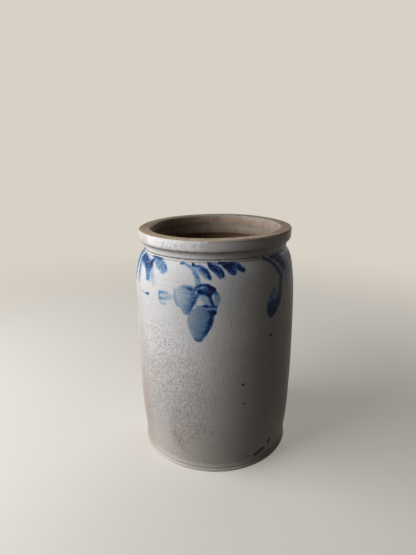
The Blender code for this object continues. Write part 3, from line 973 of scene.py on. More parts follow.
@dataclass
class Crock:
    """The thrown and fired vessel, with the marks of the throwing in its shape.

    Attributes:
        bevel_bow: how far out and up of the neck's top the point lies that bends the collar's bevel.
        throat_bends: (reach past the throat's radius, height) of the points that bend the lip and the neck.
        even_radius, even_height: the base is true in its middle and on the ground, and uneven from here on.
        calm: the share of the rings and dents that is left from calm_margin below the neck upwards.
        sway_start, sway_rise: where the rim's sway begins and over what height it grows.
        out_of_round, ring_drift, rim_waves: rows of (depth, waves in a turn, phase, twist in a metre).
        outer_rings, inner_rings: (pitch, depth) of the throwing rings.
        dent_around, dent_upward: from how many to how many waves the dents have in a turn and in a metre.
        lip_top, lip_inside: the angles that the lip's rounding covers on the rim and inside.
        cut_lines: (height, depth, half width) of each line that is cut into the outside.
        dirt_and_shade_lines: (height, half width, share) of each darker line: dirt in the cut lines, and
            painted shade on the bevel under the collar.
    """

    height: float = 0.292
    rim_radius: float = 0.0957
    rim_round: float = 0.0018
    rim_tilt: float = 0.0009
    collar_bottom: float = 0.279
    collar_taper: float = 0.0011
    collar_bow: float = 0.2 * MM
    collar_spring: float = 1.6 * MM
    bevel_bow: Pair = (1.2 * MM, 3.4 * MM)
    neck_top: float = 0.2725
    neck_bottom: float = 0.2665
    neck_radius: float = 0.0902
    shoulder_fullness: float = 0.0115
    shoulder_spring: float = 0.085
    bulge: float = 0.0013
    bulge_height: float = 0.230
    bulge_reach: float = 0.028
    belly_radius: float = 0.1023
    belly_height: float = 0.125
    flank_spring: float = 0.040
    flank_fullness: float = 0.0049
    foot_radius: float = 0.0980
    foot_round: float = 0.0008
    bead_taper: float = 0.3 * MM
    bead_middle: float = 0.45
    bare_height: float = 0.0006
    waist_radius: float = 0.0966
    waist_height: float = 0.0100
    mouth_radius: float = 0.0812
    lip_round: float = 0.0024
    lip_top: Pair = (100.0, 130.0)
    lip_inside: Pair = (140.0, 180.0)
    throat_radius: float = 0.0806
    throat_height: float = 0.2835
    throat_bends: Outline = ((0.4 * MM, 0.2865), (-0.1 * MM, 0.2805), (0.9 * MM, 0.277), (1.3 * MM, 0.272))
    inner_neck_reach: float = 1.0 * MM
    wall: float = 0.0095
    floor: float = 0.012
    floor_fillet: float = 0.008
    sides: int = 300
    even_radius: float = 0.08
    even_height: float = 0.02
    calm: float = 0.25
    calm_margin: float = 0.004
    sway_start: float = 0.24
    sway_rise: float = 0.05
    out_of_round: Waves = ((0.35 * MM, 2, 0.7, 0.0), (0.22 * MM, 3, 2.1, 9.0))
    ring_drift: Waves = ((0.9, 2, 0.0, 31.0), (0.7, 3, 0.0, -17.0))
    rim_waves: Waves = ((0.25 * MM, 2, 1.1, 0.0), (0.14 * MM, 5, 0.4, 0.0))
    outer_rings: Pair = (8.2 * MM, 0.10 * MM)
    inner_rings: Pair = (13.5 * MM, 0.34 * MM)
    dent_seed: int = 11
    dent_count: int = 14
    dent_depth: float = 0.045 * MM
    dent_around: tuple[int, int] = (2, 12)
    dent_upward: Pair = (20.0, 120.0)
    cut_lines: tuple[Triple, ...] = (
        (0.2695, 0.0009, 0.0009),
        (0.2661, 0.0005, 0.0006),
        (0.0042, 0.0006, 0.0008),
    )
    # The wide lines on the bevel under the collar are painted shade; the narrow ones are dirt in the cut
    # lines.
    dirt_and_shade_lines: tuple[Triple, ...] = (
        (0.2692, 0.0009, 0.90),
        (0.2661, 0.0007, 0.62),
        (0.2778, 0.0024, 0.66),
        (0.2740, 0.0024, 0.16),
        (0.0043, 0.0008, 0.42),
    )

    def build(self) -> bpy.types.Object:
        """Turns the profile into the crock's mesh, with the numbers that its finish reads at each point.

        Returns:
            The object, not yet glazed.
        """
        profile, zones = self._profile()
        mesh = bpy.data.meshes.new("crock_body")
        mesh.from_pydata(self._turned(profile, zones).tolist(), [], self._faces(len(profile)))
        mesh.update()
        mesh.shade_smooth()
        for name, row in self._marks(profile, zones).items():
            values = np.concatenate(([row[0]], np.repeat(row[1:-1], self.sides), [row[-1]]))
            mesh.attributes.new(name, "FLOAT", "POINT").data.foreach_set("value", values.astype(np.float32))
        return link("crock_body", mesh)

    def dress(self, piece: bpy.types.Object) -> None:
        """Glazes the crock and puts it in the CAD node's place."""
        piece.data.materials.append(SaltGlaze().build())
        seat(piece, "crock", "crock")

    def _profile(self) -> tuple[np.ndarray, np.ndarray]:
        """The profile from the middle of the base, up the outside and down the inside to the floor's middle.

        Returns:
            Its points (radius, height) and the zone of each.
        """
        points: list[np.ndarray] = []
        zones: list[Zone] = []
        for zone, curves in zip(Zone, (self._outside(), self._rim(), self._inside())):
            for curve in curves:
                joins = len(points) > 0 and np.allclose(curve[0], points[-1])
                added = curve[1:] if joins else curve
                points.extend(added)
                zones.extend([zone] * len(added))
        return np.array(points), np.array(zones)

    def _outside(self) -> Iterator[np.ndarray]:
        """The underside, the foot's bead, the wall, the neck and the collar's face.

        Returns:
            Its curves in turn, each an array of (radius, height).
        """
        underside = self.foot_radius - self.foot_round
        yield flat(0.0, underside, 0.0)
        yield arc((underside, self.foot_round), self.foot_round, -90, 0, step=0.7 * MM)
        waist = (self.waist_radius, self.waist_height)
        bead = (self.foot_radius - self.bead_taper, self.bead_middle * self.waist_height)
        yield sweep(((self.foot_radius, self.foot_round), bead, waist), step=0.45 * MM)
        belly = (self.belly_radius, self.belly_height)
        yield sweep(self._flank(waist, belly), step=3.2 * MM)
        neck = (self.neck_radius, self.neck_bottom)
        yield sweep(self._shoulder(belly, neck), step=2.6 * MM)
        neck_end = (self.neck_radius, self.neck_top)
        yield sweep((neck, neck_end), step=0.35 * MM)
        bevel = (self.neck_radius + self.bevel_bow[0], self.neck_top + self.bevel_bow[1])
        collar = (self.rim_radius - self.collar_taper, self.collar_bottom)
        yield sweep((neck_end, bevel, collar), step=0.7 * MM)
        low_face = (self.rim_radius - self.collar_bow, self.collar_bottom + self.collar_spring)
        high_face = (self.rim_radius + self.collar_bow, self.height - 2 * self.rim_round)
        edge = (self.rim_radius, self.height - self.rim_round)
        yield sweep((collar, low_face, high_face, edge), step=0.8 * MM)

    def _flank(self, foot: Pair, belly: Pair) -> Outline:
        """Control points of the wall from its foot up to the belly."""
        low = (foot[0] + self.flank_fullness, foot[1] + self.flank_spring)
        return (foot, low, (belly[0], belly[1] - self.flank_spring), belly)

    def _shoulder(self, belly: Pair, neck: Pair) -> Outline:
        """Control points of the wall from the belly up to the neck."""
        low = (belly[0], belly[1] + self.shoulder_spring)
        return (belly, low, (belly[0], neck[1] - self.shoulder_fullness), neck)

    def _lip_centre(self) -> Pair:
        """The middle of the lip's rounding."""
        return (self.mouth_radius + self.lip_round, self.height - self.lip_round)

    def _rim(self) -> Iterator[np.ndarray]:
        """The rim's outer corner, its top and the upper half of the lip.

        Returns:
            Its curves in turn, each an array of (radius, height).
        """
        corner = (self.rim_radius - self.rim_round, self.height - self.rim_round)
        yield arc(corner, self.rim_round, 0, 90, step=0.5 * MM)
        top_end = (self.mouth_radius + self.lip_round, self.height)
        yield sweep(((corner[0], self.height), top_end), step=0.8 * MM)
        yield arc(self._lip_centre(), self.lip_round, *self.lip_top, step=0.5 * MM)

    def _inside(self) -> Iterator[np.ndarray]:
        """The lower half of the lip, the throat, the inner wall and the floor.

        Returns:
            Its curves in turn, each an array of (radius, height).
        """
        yield arc(self._lip_centre(), self.lip_round, *self.lip_inside, step=0.5 * MM)
        lip_end = (self.mouth_radius, self.height - self.lip_round)
        throat = (self.throat_radius, self.throat_height)
        bends = [(self.throat_radius + reach, height) for reach, height in self.throat_bends]
        lip_bend, tuck_bend, tuck_end, neck_bend = bends
        neck = (self.throat_radius + self.inner_neck_reach, self.neck_bottom)
        yield sweep((lip_end, lip_bend, throat), step=0.8 * MM)
        yield sweep((throat, tuck_bend, tuck_end), step=0.8 * MM)
        yield sweep((tuck_end, neck_bend, neck), step=1.6 * MM)
        belly = (self.belly_radius - self.wall, self.belly_height)
        yield sweep(self._shoulder(belly, neck)[::-1], step=4.0 * MM)
        heel = (self.waist_radius - self.wall, self.floor + self.floor_fillet)
        yield sweep(self._flank(heel, belly)[::-1], step=5.0 * MM)
        fillet_centre = (heel[0] - self.floor_fillet, heel[1])
        yield arc(fillet_centre, self.floor_fillet, 0, -90, step=2.0 * MM)
        yield flat(fillet_centre[0], 0.0, self.floor)

    def _turned(self, profile: np.ndarray, zones: np.ndarray) -> np.ndarray:
        """Spins the profile, with the hand's unevenness.

        Args:
            profile: its points, (radius, height).
            zones: the zone of each point.

        Returns:
            The mesh's points: one pole, the rings, the other pole.
        """
        turn = np.linspace(0.0, 2 * math.pi, self.sides, endpoint=False)[None, :]
        radius = profile[1:-1, 0][:, None]
        height = profile[1:-1, 1][:, None]
        inside = zones[1:-1][:, None] == Zone.INSIDE
        lines = sum(depth * bell(height, middle, half) for middle, depth, half in self.cut_lines)
        fade = np.clip(radius / self.even_radius, 0.0, 1.0) ** 2
        stand = np.clip(height / self.even_height, 0.0, 1.0)
        round_off = ripple(self.out_of_round, turn, height)
        pitch, depth = (np.where(inside, *pair) for pair in zip(self.inner_rings, self.outer_rings))
        drift = ripple(self.ring_drift, turn, height)
        rings = depth * np.sin(2 * math.pi * height / pitch + turn + drift)
        calm = np.where(height > self.neck_bottom - self.calm_margin, self.calm, 1.0)
        leftward = (0.5 - 0.5 * np.sin(turn)) ** 2
        bulge = self.bulge * leftward * bell(height, self.bulge_height, self.bulge_reach)
        dents = ripple(self._dents(), turn, height) + bulge
        spread = radius - np.where(inside, 0.0, lines) + fade * stand * (round_off + calm * (rings + dents))
        lift = stand * fade * np.clip((height - self.sway_start) / self.sway_rise, 0.0, 1.0)
        sway = ripple(self.rim_waves, turn, height) + self.rim_tilt * np.sin(turn)
        ring_points = (spread * np.sin(turn), -spread * np.cos(turn), height + lift * sway)
        first = (0.0, 0.0, profile[0, 1])
        last = (0.0, 0.0, profile[-1, 1])
        return np.vstack((first, np.stack(ring_points, axis=-1).reshape(-1, 3), last))

    def _dents(self) -> Waves:
        """The soft unevenness of a hand-thrown wall, as a few seeded waves.

        Returns:
            Rows of (depth, waves in a turn, phase, twist in a metre of height).
        """
        source = np.random.default_rng(self.dent_seed)
        waves = []
        for _ in range(self.dent_count):
            around = source.integers(*self.dent_around)
            upward = source.uniform(*self.dent_upward)
            phase = source.uniform(0.0, 2 * math.pi)
            waves.append((self.dent_depth, around, phase, upward))
        return waves

    def _faces(self, rows: int) -> list[tuple[int, ...]]:
        """Faces between the rings, and a fan at each pole.

        Args:
            rows: how many points the profile has.

        Returns:
            The point numbers of each face.
        """
        rings = rows - 2
        end = 1 + (rings - 1) * self.sides
        pairs = [(side, (side + 1) % self.sides) for side in range(self.sides)]
        first_fan = [(0, 1 + after, 1 + side) for side, after in pairs]
        last_fan = [(end + side, end + after, end + self.sides) for side, after in pairs]
        return [*first_fan, *bands(rings, self.sides, first=1), *last_fan]

    def _marks(self, profile: np.ndarray, zones: np.ndarray) -> dict[str, np.ndarray]:
        """The numbers along the profile that tell the finish where it is.

        Args:
            profile: its points, (radius, height).
            zones: the zone of each point.

        Returns:
            The name of each mark, with its value at each point of the profile.
        """
        height = profile[:, 1]
        inside = zones == Zone.INSIDE
        outside = zones == Zone.OUTSIDE
        dirt_and_shade = [share * bell(height, middle, half) for middle, half, share in self.dirt_and_shade_lines]
        worn = np.clip((height - self.height + self.rim_round) / self.rim_round, 0.0, 1.0)
        bare = np.clip(1.0 - height / self.bare_height, 0.0, 1.0)
        return {
            "groove_dirt_and_shade": np.where(outside, np.max(dirt_and_shade, axis=0), 0.0),
            "rim": np.where(inside, 0.0, worn),
            "inside": inside.astype(float),
            "depth": np.where(inside, (self.height - height) / self.height, 0.0),
            "bare": np.where(outside, bare, 0.0),
        }


def seat(piece: bpy.types.Object, node: str, body: str) -> None:
    """Puts a piece in the place of a CAD node, on its body.

    Args:
        piece: the finished piece.
        node: the CAD node that it stands for.
        body: the rigid body that carries it.
    """
    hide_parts(node)
    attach(piece, body)
    LOG.info("built %s for %s, %d faces", piece.name, node, len(piece.data.polygons))


@dataclass
class Blank:
    """A flat piece cut from an outline, eased along its edges and then worn, as a maker would do it.

    Attributes:
        name: the finished piece's name.
        outline: (x, y) corners in metres, anticlockwise.
        bottom: height of the lower face.
        top: height of the upper face.
        easing: width of the rounding along the edges.
        holes: (x, y) middles of round holes bored from top to bottom.
        hole_radius: their radius.
        crease: edges that turn by more than this are eased, and stay sharp to the eye.
        coarse_share, fine_share: how much of the wear is in its waves and in the ripple on them.
        fineness: how many times finer the ripple is.
    """

    name: str
    outline: Outline
    bottom: float
    top: float
    easing: float
    holes: Outline = ()
    hole_radius: float = 0.0
    easing_steps: int = 3
    hole_sides: int = 28
    crease: float = math.radians(50)
    coarse_share: float = 0.35
    fine_share: float = 0.15
    fineness: float = 3.1

    def build(self, pitch: Pair, waves: Triple, depth: float) -> bpy.types.Object:
        """Cuts, eases, bores and wears the piece.

        Args:
            pitch: how far apart the cuts along X and Y lie that let its faces be worn.
            waves: waves per metre along each axis in the wear.
            depth: how deep the wear goes at most; it only takes off.

        Returns:
            The finished object.
        """
        shape = self._slab(self.outline, self.bottom, self.top)
        sharp = [edge for edge in shape.edges if edge.calc_face_angle(0.0) > self.crease]
        bmesh.ops.bevel(
            shape,
            geom=sharp,
            offset=self.easing,
            segments=self.easing_steps,
            profile=0.5,
            affect="EDGES",
            clamp_overlap=True,
        )
        piece = self._object(self.name, shape)
        if self.holes:
            self._bore(piece)
        shape = bmesh.new()
        shape.from_mesh(piece.data)
        self._score(shape, pitch)
        self._wear(shape, waves, depth)
        shape.to_mesh(piece.data)
        shape.free()
        piece.data.shade_smooth()
        piece.data.set_sharp_from_angle(angle=self.crease)
        return piece

    @staticmethod
    def _slab(outline: Outline, bottom: float, top: float) -> bmesh.types.BMesh:
        """Raises a closed outline into a solid.

        Args:
            outline: its (x, y) corners.
            bottom: height of the lower face.
            top: height of the upper face.

        Returns:
            The solid.
        """
        shape = bmesh.new()
        face = shape.faces.new([shape.verts.new((x, y, bottom)) for x, y in outline])
        raised = bmesh.ops.extrude_face_region(shape, geom=[face])
        moved = [item for item in raised["geom"] if isinstance(item, bmesh.types.BMVert)]
        bmesh.ops.translate(shape, vec=(0.0, 0.0, top - bottom), verts=moved)
        bmesh.ops.recalc_face_normals(shape, faces=shape.faces)
        return shape

    @staticmethod
    def _object(name: str, shape: bmesh.types.BMesh) -> bpy.types.Object:
        """Turns a solid into an object in the scene.

        Args:
            name: the name of the object and its mesh.
            shape: the solid, which is freed.

        Returns:
            The object.
        """
        mesh = bpy.data.meshes.new(name)
        shape.to_mesh(mesh)
        shape.free()
        return link(name, mesh)

    def _bore(self, piece: bpy.types.Object) -> None:
        """Cuts the round holes right through.

        Args:
            piece: the piece that is bored.
        """
        drill = bmesh.new()
        thickness = self.top - self.bottom
        # The drill reaches one thickness past both faces.
        for x, y in self.holes:
            bit = bmesh.ops.create_cone(
                drill,
                cap_ends=True,
                segments=self.hole_sides,
                radius1=self.hole_radius,
                radius2=self.hole_radius,
                depth=3 * thickness,
            )
            bmesh.ops.translate(drill, vec=(x, y, (self.bottom + self.top) / 2), verts=bit["verts"])
        cutter = self._object(f"{self.name}_drill", drill)
        cut = piece.modifiers.new("holes", "BOOLEAN")
        cut.operation = "DIFFERENCE"
        cut.object = cutter
        graph = bpy.context.evaluated_depsgraph_get()
        bored = bpy.data.meshes.new_from_object(piece.evaluated_get(graph))
        piece.modifiers.clear()
        piece.data = bored
        bpy.data.objects.remove(cutter, do_unlink=True)

    @staticmethod
    def _score(shape: bmesh.types.BMesh, pitch: Pair) -> None:
        """Cuts the faces into a grid along X and Y.

        Args:
            shape: the solid.
            pitch: how far apart the cuts along X and Y lie.
        """
        for axis, step in enumerate(pitch):
            places = [vert.co[axis] for vert in shape.verts]
            low, high = min(places), max(places)
            count = round((high - low) / step)
            normal = Vector((axis == 0, axis == 1, 0.0))
            for line in range(1, count):
                everything = [*shape.verts, *shape.edges, *shape.faces]
                point = normal * (low + (high - low) * line / count)
                bmesh.ops.bisect_plane(shape, geom=everything, dist=TOUCHING, plane_co=point, plane_no=normal)

    def _wear(self, shape: bmesh.types.BMesh, waves: Triple, depth: float) -> None:
        """Takes off an uneven skin: coarse waves and a finer ripple.

        Args:
            shape: the solid.
            waves: waves per metre along each axis.
            depth: how deep the wear goes at most.
        """
        shape.normal_update()
        moves = []
        for vert in shape.verts:
            spot = Vector([place * wave for place, wave in zip(vert.co, waves)])
            coarse, fine = noise.noise(spot), noise.noise(self.fineness * spot)
            share = 0.5 + self.coarse_share * coarse + self.fine_share * fine
            moves.append((vert, vert.normal * (-depth * share)))
        for vert, move in moves:
            vert.co += move


@dataclass(frozen=True)
class BrineWood:
    """Bare wood darkened by brine, with its rings about a pith and its fibres along one axis.

    Attributes:
        name: the material's name.
        along: the axis that the fibres follow, 0 to 2.
        pith: where the middle of the tree lay, in metres, in the piece's own frame.
        light: colour of the soft spring wood.
        dark: colour of the hard summer wood.
        stain: colour where the brine has stood.
        ring_pitch: how far apart the rings are.
        ring_wander: how far they leave their circles.
        fibre_stretch: the share of its fineness that the grain has along the fibres.
        relief: how far the hard wood stands out, with relief_strength of that seen.
    """

    name: str
    along: int
    pith: Triple
    light: Paint = srgb(168, 126, 84)
    dark: Paint = srgb(104, 70, 42)
    stain: Paint = srgb(66, 44, 30)
    ring_pitch: float = 3.4 * MM
    ring_wander: float = 12.0 * MM
    fibre_stretch: float = 0.05
    relief: float = 0.4 * MM
    relief_strength: float = 0.8

    def build(self) -> bpy.types.Material:
        """Makes the material: rings, fibres, brine stains and a relief where summer wood stands proud.

        Returns:
            The material.
        """
        material, sheet, shader = new_material(self.name)
        place = sheet.place()
        stretch = [1.0, 1.0, 1.0]
        stretch[self.along] = self.fibre_stretch
        drawn = sheet.stretched(place, tuple(stretch))
        late = self._summer_wood(sheet, drawn)
        fibre = sheet.noise(drawn, 640.0, detail=3.0, rough=0.6)
        streak = sheet.noise(drawn, 130.0, detail=3.0, rough=0.6)
        blotch = sheet.noise(place, 28.0, detail=4.0, rough=0.6)
        colour = sheet.mix(sheet.times(late, 0.75), self.light, self.dark)
        colour = sheet.mix(sheet.span(streak, 0.42, 0.66, 0.0, 0.55), colour, self.dark)
        colour = sheet.mix(sheet.span(fibre, 0.56, 0.72, 0.0, 0.50), colour, self.stain)
        colour = sheet.mix(sheet.span(blotch, 0.46, 0.70, 0.0, 0.60), colour, self.stain)
        sheet.feed(shader.inputs["Base Color"], colour)
        sheet.feed(shader.inputs["Roughness"], sheet.span(fibre, 0.3, 0.7, 0.80, 0.60))
        raised = sheet.times_plus(late, 0.5, fibre)
        sheet.feed(shader.inputs["Normal"], sheet.bump(raised, self.relief, self.relief_strength))
        return material

    def _summer_wood(self, sheet: NodeSheet, drawn: Socket) -> Socket:
        """The hard, dark wood, which grows across each ring and stops short at the next.

        Args:
            sheet: the material's nodes.
            drawn: the point in the piece's own frame, drawn out along the fibres.

        Returns:
            Its share, 0 to 1.
        """
        wobble = sheet.noise(drawn, 26.0, output="Color")
        wobble = sheet.vector_math("SUBTRACT", wobble, (0.5, 0.5, 0.5))
        wobble = sheet.vector_math("MULTIPLY", wobble, (self.ring_wander,) * 3)
        spread = [1.0, 1.0, 1.0]
        spread[self.along] = 0.0
        spoke = sheet.vector_math("SUBTRACT", sheet.vector_math("ADD", drawn, wobble), self.pith)
        spoke = sheet.stretched(spoke, tuple(spread))
        ring = sheet.math("FRACT", sheet.math("DIVIDE", sheet.length(spoke), self.ring_pitch))
        return sheet.times(sheet.span(ring, 0.35, 0.90), sheet.span(ring, 1.0, 0.93))


@dataclass(frozen=True)
class BrownSlip:
    """Thin brown slip over stoneware, worn pale on its high spots and pooled dark in its hollows."""

    name: str
    pale: Paint = srgb(188, 170, 146)
    brown: Paint = srgb(138, 106, 76)
    dark: Paint = srgb(78, 56, 40)
    relief: float = 0.5 * MM
    relief_strength: float = 0.9

    def build(self) -> bpy.types.Material:
        """Makes the material.

        Returns:
            The material.
        """
        material, sheet, shader = new_material(self.name)
        place = sheet.place()
        cloud = sheet.noise(place, 26.0, detail=5.0, rough=0.6)
        pits = sheet.span(sheet.cells(place, 330.0, 0.6), 0.12, 0.46)
        peel = sheet.times_plus(pits, 0.5, sheet.times(sheet.noise(place, 800.0), 0.4))
        colour = sheet.ramp(cloud, ((0.30, self.dark), (0.44, self.brown), (0.66, self.pale)))
        flecks = sheet.span(sheet.noise(place, 480.0), 0.64, 0.74, 0.0, 0.6)
        colour = sheet.mix(flecks, colour, self.dark)
        colour = sheet.mix(sheet.span(peel, 0.42, 0.16, 0.0, 0.5), colour, self.dark)
        sheet.feed(shader.inputs["Base Color"], colour)
        sheet.feed(shader.inputs["Roughness"], sheet.span(cloud, 0.3, 0.7, 0.34, 0.56))
        sheet.feed(shader.inputs["Normal"], sheet.bump(peel, self.relief, self.relief_strength))
        return material


@dataclass
class Follower:
    """The wooden disc that holds the food down: three boards, two cleats and a peg at each crossing.

    Attributes:
        board_piths, cleat_piths: where the middle of each piece's tree lay.
        board_pitch, cleat_pitch: how far apart the cuts lie that let a face be worn.
        board_waves, cleat_waves: waves in a metre of the wear, long along the fibres.
        peg_flats, flat_depth: the knife's flats round a peg and the share of its radius that they take.
        peg_spin: how far a peg is turned for each metre along X and Y, in radians.
        peg_rings: rows of (share of the peg's height, move along it, share of its radius).
    """

    boards: tuple[str, ...] = ("left", "middle", "right")
    cleats: tuple[str, ...] = ("front", "back")
    board_piths: tuple[Triple, ...] = ((-0.020, 0.0, -0.045), (0.012, 0.0, -0.030), (0.075, 0.0, 0.060))
    cleat_piths: tuple[Triple, ...] = ((0.0, 0.05, 0.0), (0.0, -0.08, 0.0))
    cleat_light: Paint = srgb(152, 112, 74)
    cleat_dark: Paint = srgb(92, 62, 38)
    peg_light: Paint = srgb(126, 90, 58)
    peg_dark: Paint = srgb(74, 48, 30)
    board_easing: float = 1.4 * MM
    board_pitch: Pair = (2.5 * MM, 7.0 * MM)
    board_waves: Triple = (240.0, 14.0, 240.0)
    cleat_easing: float = 2.0 * MM
    cleat_pitch: Pair = (7.0 * MM, 2.0 * MM)
    cleat_waves: Triple = (14.0, 260.0, 260.0)
    hole_play: float = 0.3 * MM
    wear: float = 0.35 * MM
    rim_steps: int = 40
    peg_sides: int = 20
    peg_flats: int = 7
    flat_depth: float = 0.05
    peg_spin: Pair = (40.0, 25.0)
    peg_rings: tuple[Triple, ...] = (
        (0.0, 0.0, 0.72),
        (0.0, 0.7 * MM, 1.0),
        (0.5, 0.0, 0.98),
        (1.0, -0.9 * MM, 1.0),
        (1.0, 0.0, 0.70),
    )
    peg_crease: float = math.radians(30)

    def build(self) -> None:
        """Builds every piece in its CAD node's place and gives it its wood."""
        for board, pith in zip(self.boards, self.board_piths):
            self._board(board, BrineWood(f"board_wood_{board}", 1, pith))
        for cleat, pith in zip(self.cleats, self.cleat_piths):
            self._cleat(cleat, BrineWood(f"cleat_wood_{cleat}", 0, pith, self.cleat_light, self.cleat_dark))
        peg_wood = BrineWood("peg_grain", 2, (0.0, 0.0, 0.0), self.peg_light, self.peg_dark).build()
        for cleat in self.cleats:
            for board in self.boards:
                self._peg(cleat, board, peg_wood)

    def _peg_box(self, cleat: str, board: str) -> tuple[Vector, Vector]:
        """The CAD box of one peg."""
        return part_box(f"follower_peg_{cleat}_{board}")

    def _holes(self, boards: Sequence[str], cleats: Sequence[str]) -> tuple[list[Pair], float]:
        """The peg holes in a piece, one wherever these cleats cross these boards.

        Args:
            boards: the boards' names.
            cleats: the cleats' names.

        Returns:
            The middles of the holes and their radius.
        """
        boxes = [self._peg_box(cleat, board) for cleat in cleats for board in boards]
        middles = [((low.x + high.x) / 2, (low.y + high.y) / 2) for low, high in boxes]
        low, high = boxes[0]
        return middles, (high.x - low.x) / 2 + self.hole_play

    def _board(self, board: str, wood: BrineWood) -> None:
        """One board: the slice of the disc between its two long edges.

        Args:
            board: its name.
            wood: its finish.
        """
        node = f"follower_board_{board}"
        low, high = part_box(node)
        radius = -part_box("follower_board_left")[0].x
        start = math.acos(max(-1.0, min(1.0, high.x / radius)))
        end = math.acos(max(-1.0, min(1.0, low.x / radius)))
        turns = np.linspace(start, end, self.rim_steps + 1)
        far = [(radius * math.cos(turn), radius * math.sin(turn)) for turn in turns]
        near = [(x, -y) for x, y in reversed(far)]
        outline = far + [point for point in near if abs(point[1]) > TOUCHING]
        holes, hole_radius = self._holes((board,), self.cleats)
        blank = Blank(f"board_{board}", outline, low.z, high.z, self.board_easing, holes, hole_radius)
        piece = blank.build(self.board_pitch, self.board_waves, self.wear)
        piece.data.materials.append(wood.build())
        seat(piece, node, "follower")

    def _cleat(self, cleat: str, wood: BrineWood) -> None:
        """One cross bar with sawn ends.

        Args:
            cleat: its name.
            wood: its finish.
        """
        node = f"follower_cleat_{cleat}"
        low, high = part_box(node)
        outline = [(low.x, low.y), (high.x, low.y), (high.x, high.y), (low.x, high.y)]
        holes, hole_radius = self._holes(self.boards, (cleat,))
        blank = Blank(f"cleat_{cleat}", outline, low.z, high.z, self.cleat_easing, holes, hole_radius)
        piece = blank.build(self.cleat_pitch, self.cleat_waves, self.wear)
        piece.data.materials.append(wood.build())
        seat(piece, node, "follower")

    def _peg(self, cleat: str, board: str, wood: bpy.types.Material) -> None:
        """One whittled peg, a little flat-sided, with its ends rounded by a knife.

        Args:
            cleat: the cleat that it goes through.
            board: the board that it goes into.
            wood: its material.
        """
        low, high = self._peg_box(cleat, board)
        middle = (low + high) / 2
        radius = (high.x - low.x) / 2
        turn = np.linspace(0.0, 2 * math.pi, self.peg_sides, endpoint=False)
        phase = self.peg_spin[0] * middle.x + self.peg_spin[1] * middle.y
        facets = radius * (1.0 - self.flat_depth * (0.5 + 0.5 * np.cos(self.peg_flats * turn + phase)))
        points = []
        for up, move, wide in self.peg_rings:
            z = low.z + up * (high.z - low.z) + move
            for reach, a in zip(wide * facets, turn):
                points.append((middle.x + reach * math.cos(a), middle.y + reach * math.sin(a), z))
        rings = len(self.peg_rings)
        bottom = range(self.peg_sides)
        top = range((rings - 1) * self.peg_sides, rings * self.peg_sides)
        faces = [tuple(reversed(bottom)), *bands(rings, self.peg_sides), tuple(top)]
        mesh = bpy.data.meshes.new(f"peg_{cleat}_{board}")
        mesh.from_pydata(points, [], faces)
        mesh.shade_smooth()
        mesh.set_sharp_from_angle(angle=self.peg_crease)
        mesh.materials.append(wood)
        piece = link(mesh.name, mesh)
        seat(piece, f"follower_peg_{cleat}_{board}", "follower")


@dataclass
class Weights:
    """The two half-round stoneware weights that lie on the follower."""

    sides: tuple[tuple[str, int], ...] = (("left", -1), ("right", 1))
    finger_hole: float = 0.016
    easing: float = 4.5 * MM
    easing_steps: int = 5
    wear: float = 1.1 * MM
    pitch: Pair = (4.0 * MM, 4.0 * MM)
    waves: Triple = (34.0, 34.0, 90.0)
    rim_steps: int = 64
    hole_steps: int = 24

    def build(self) -> None:
        """Builds both weights in their CAD nodes' places and gives them their slip."""
        slip = BrownSlip("weight_slip").build()
        for name, side in self.sides:
            node = f"weight_{name}"
            low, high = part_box(node)
            outline = self._outline(low, high, side)
            blank = Blank(
                f"half_weight_{name}",
                outline,
                low.z,
                high.z,
                self.easing,
                easing_steps=self.easing_steps,
            )
            piece = blank.build(self.pitch, self.waves, self.wear)
            piece.data.materials.append(slip)
            seat(piece, node, node)

    def _outline(self, low: Vector, high: Vector, side: int) -> list[Pair]:
        """Half a disc with half of the finger hole in its straight edge.

        Args:
            low: the lowest corner of the weight's CAD box.
            high: its highest corner.
            side: -1 for the left weight and 1 for the right one.

        Returns:
            Its (x, y) corners, anticlockwise.
        """
        radius = max(abs(low.x), abs(high.x))
        straight = min(abs(low.x), abs(high.x))
        reach = math.acos(straight / radius)
        rim = np.linspace(-reach, reach, self.rim_steps + 1)
        bite = math.acos(straight / self.finger_hole)
        notch = np.linspace(bite, -bite, self.hole_steps + 1)
        round_edge = [(radius * math.cos(a), radius * math.sin(a)) for a in rim]
        finger_edge = [(self.finger_hole * math.cos(a), self.finger_hole * math.sin(a)) for a in notch]
        return [(side * x, y) for x, y in round_edge + finger_edge][::side]


@dataclass(frozen=True)
class Lamp:
    """A soft rectangular lamp: its place, what it faces, its size in metres, its watts and its colour."""

    name: str
    place: Triple
    aim: Triple
    size: Pair
    watts: float
    colour: Triple


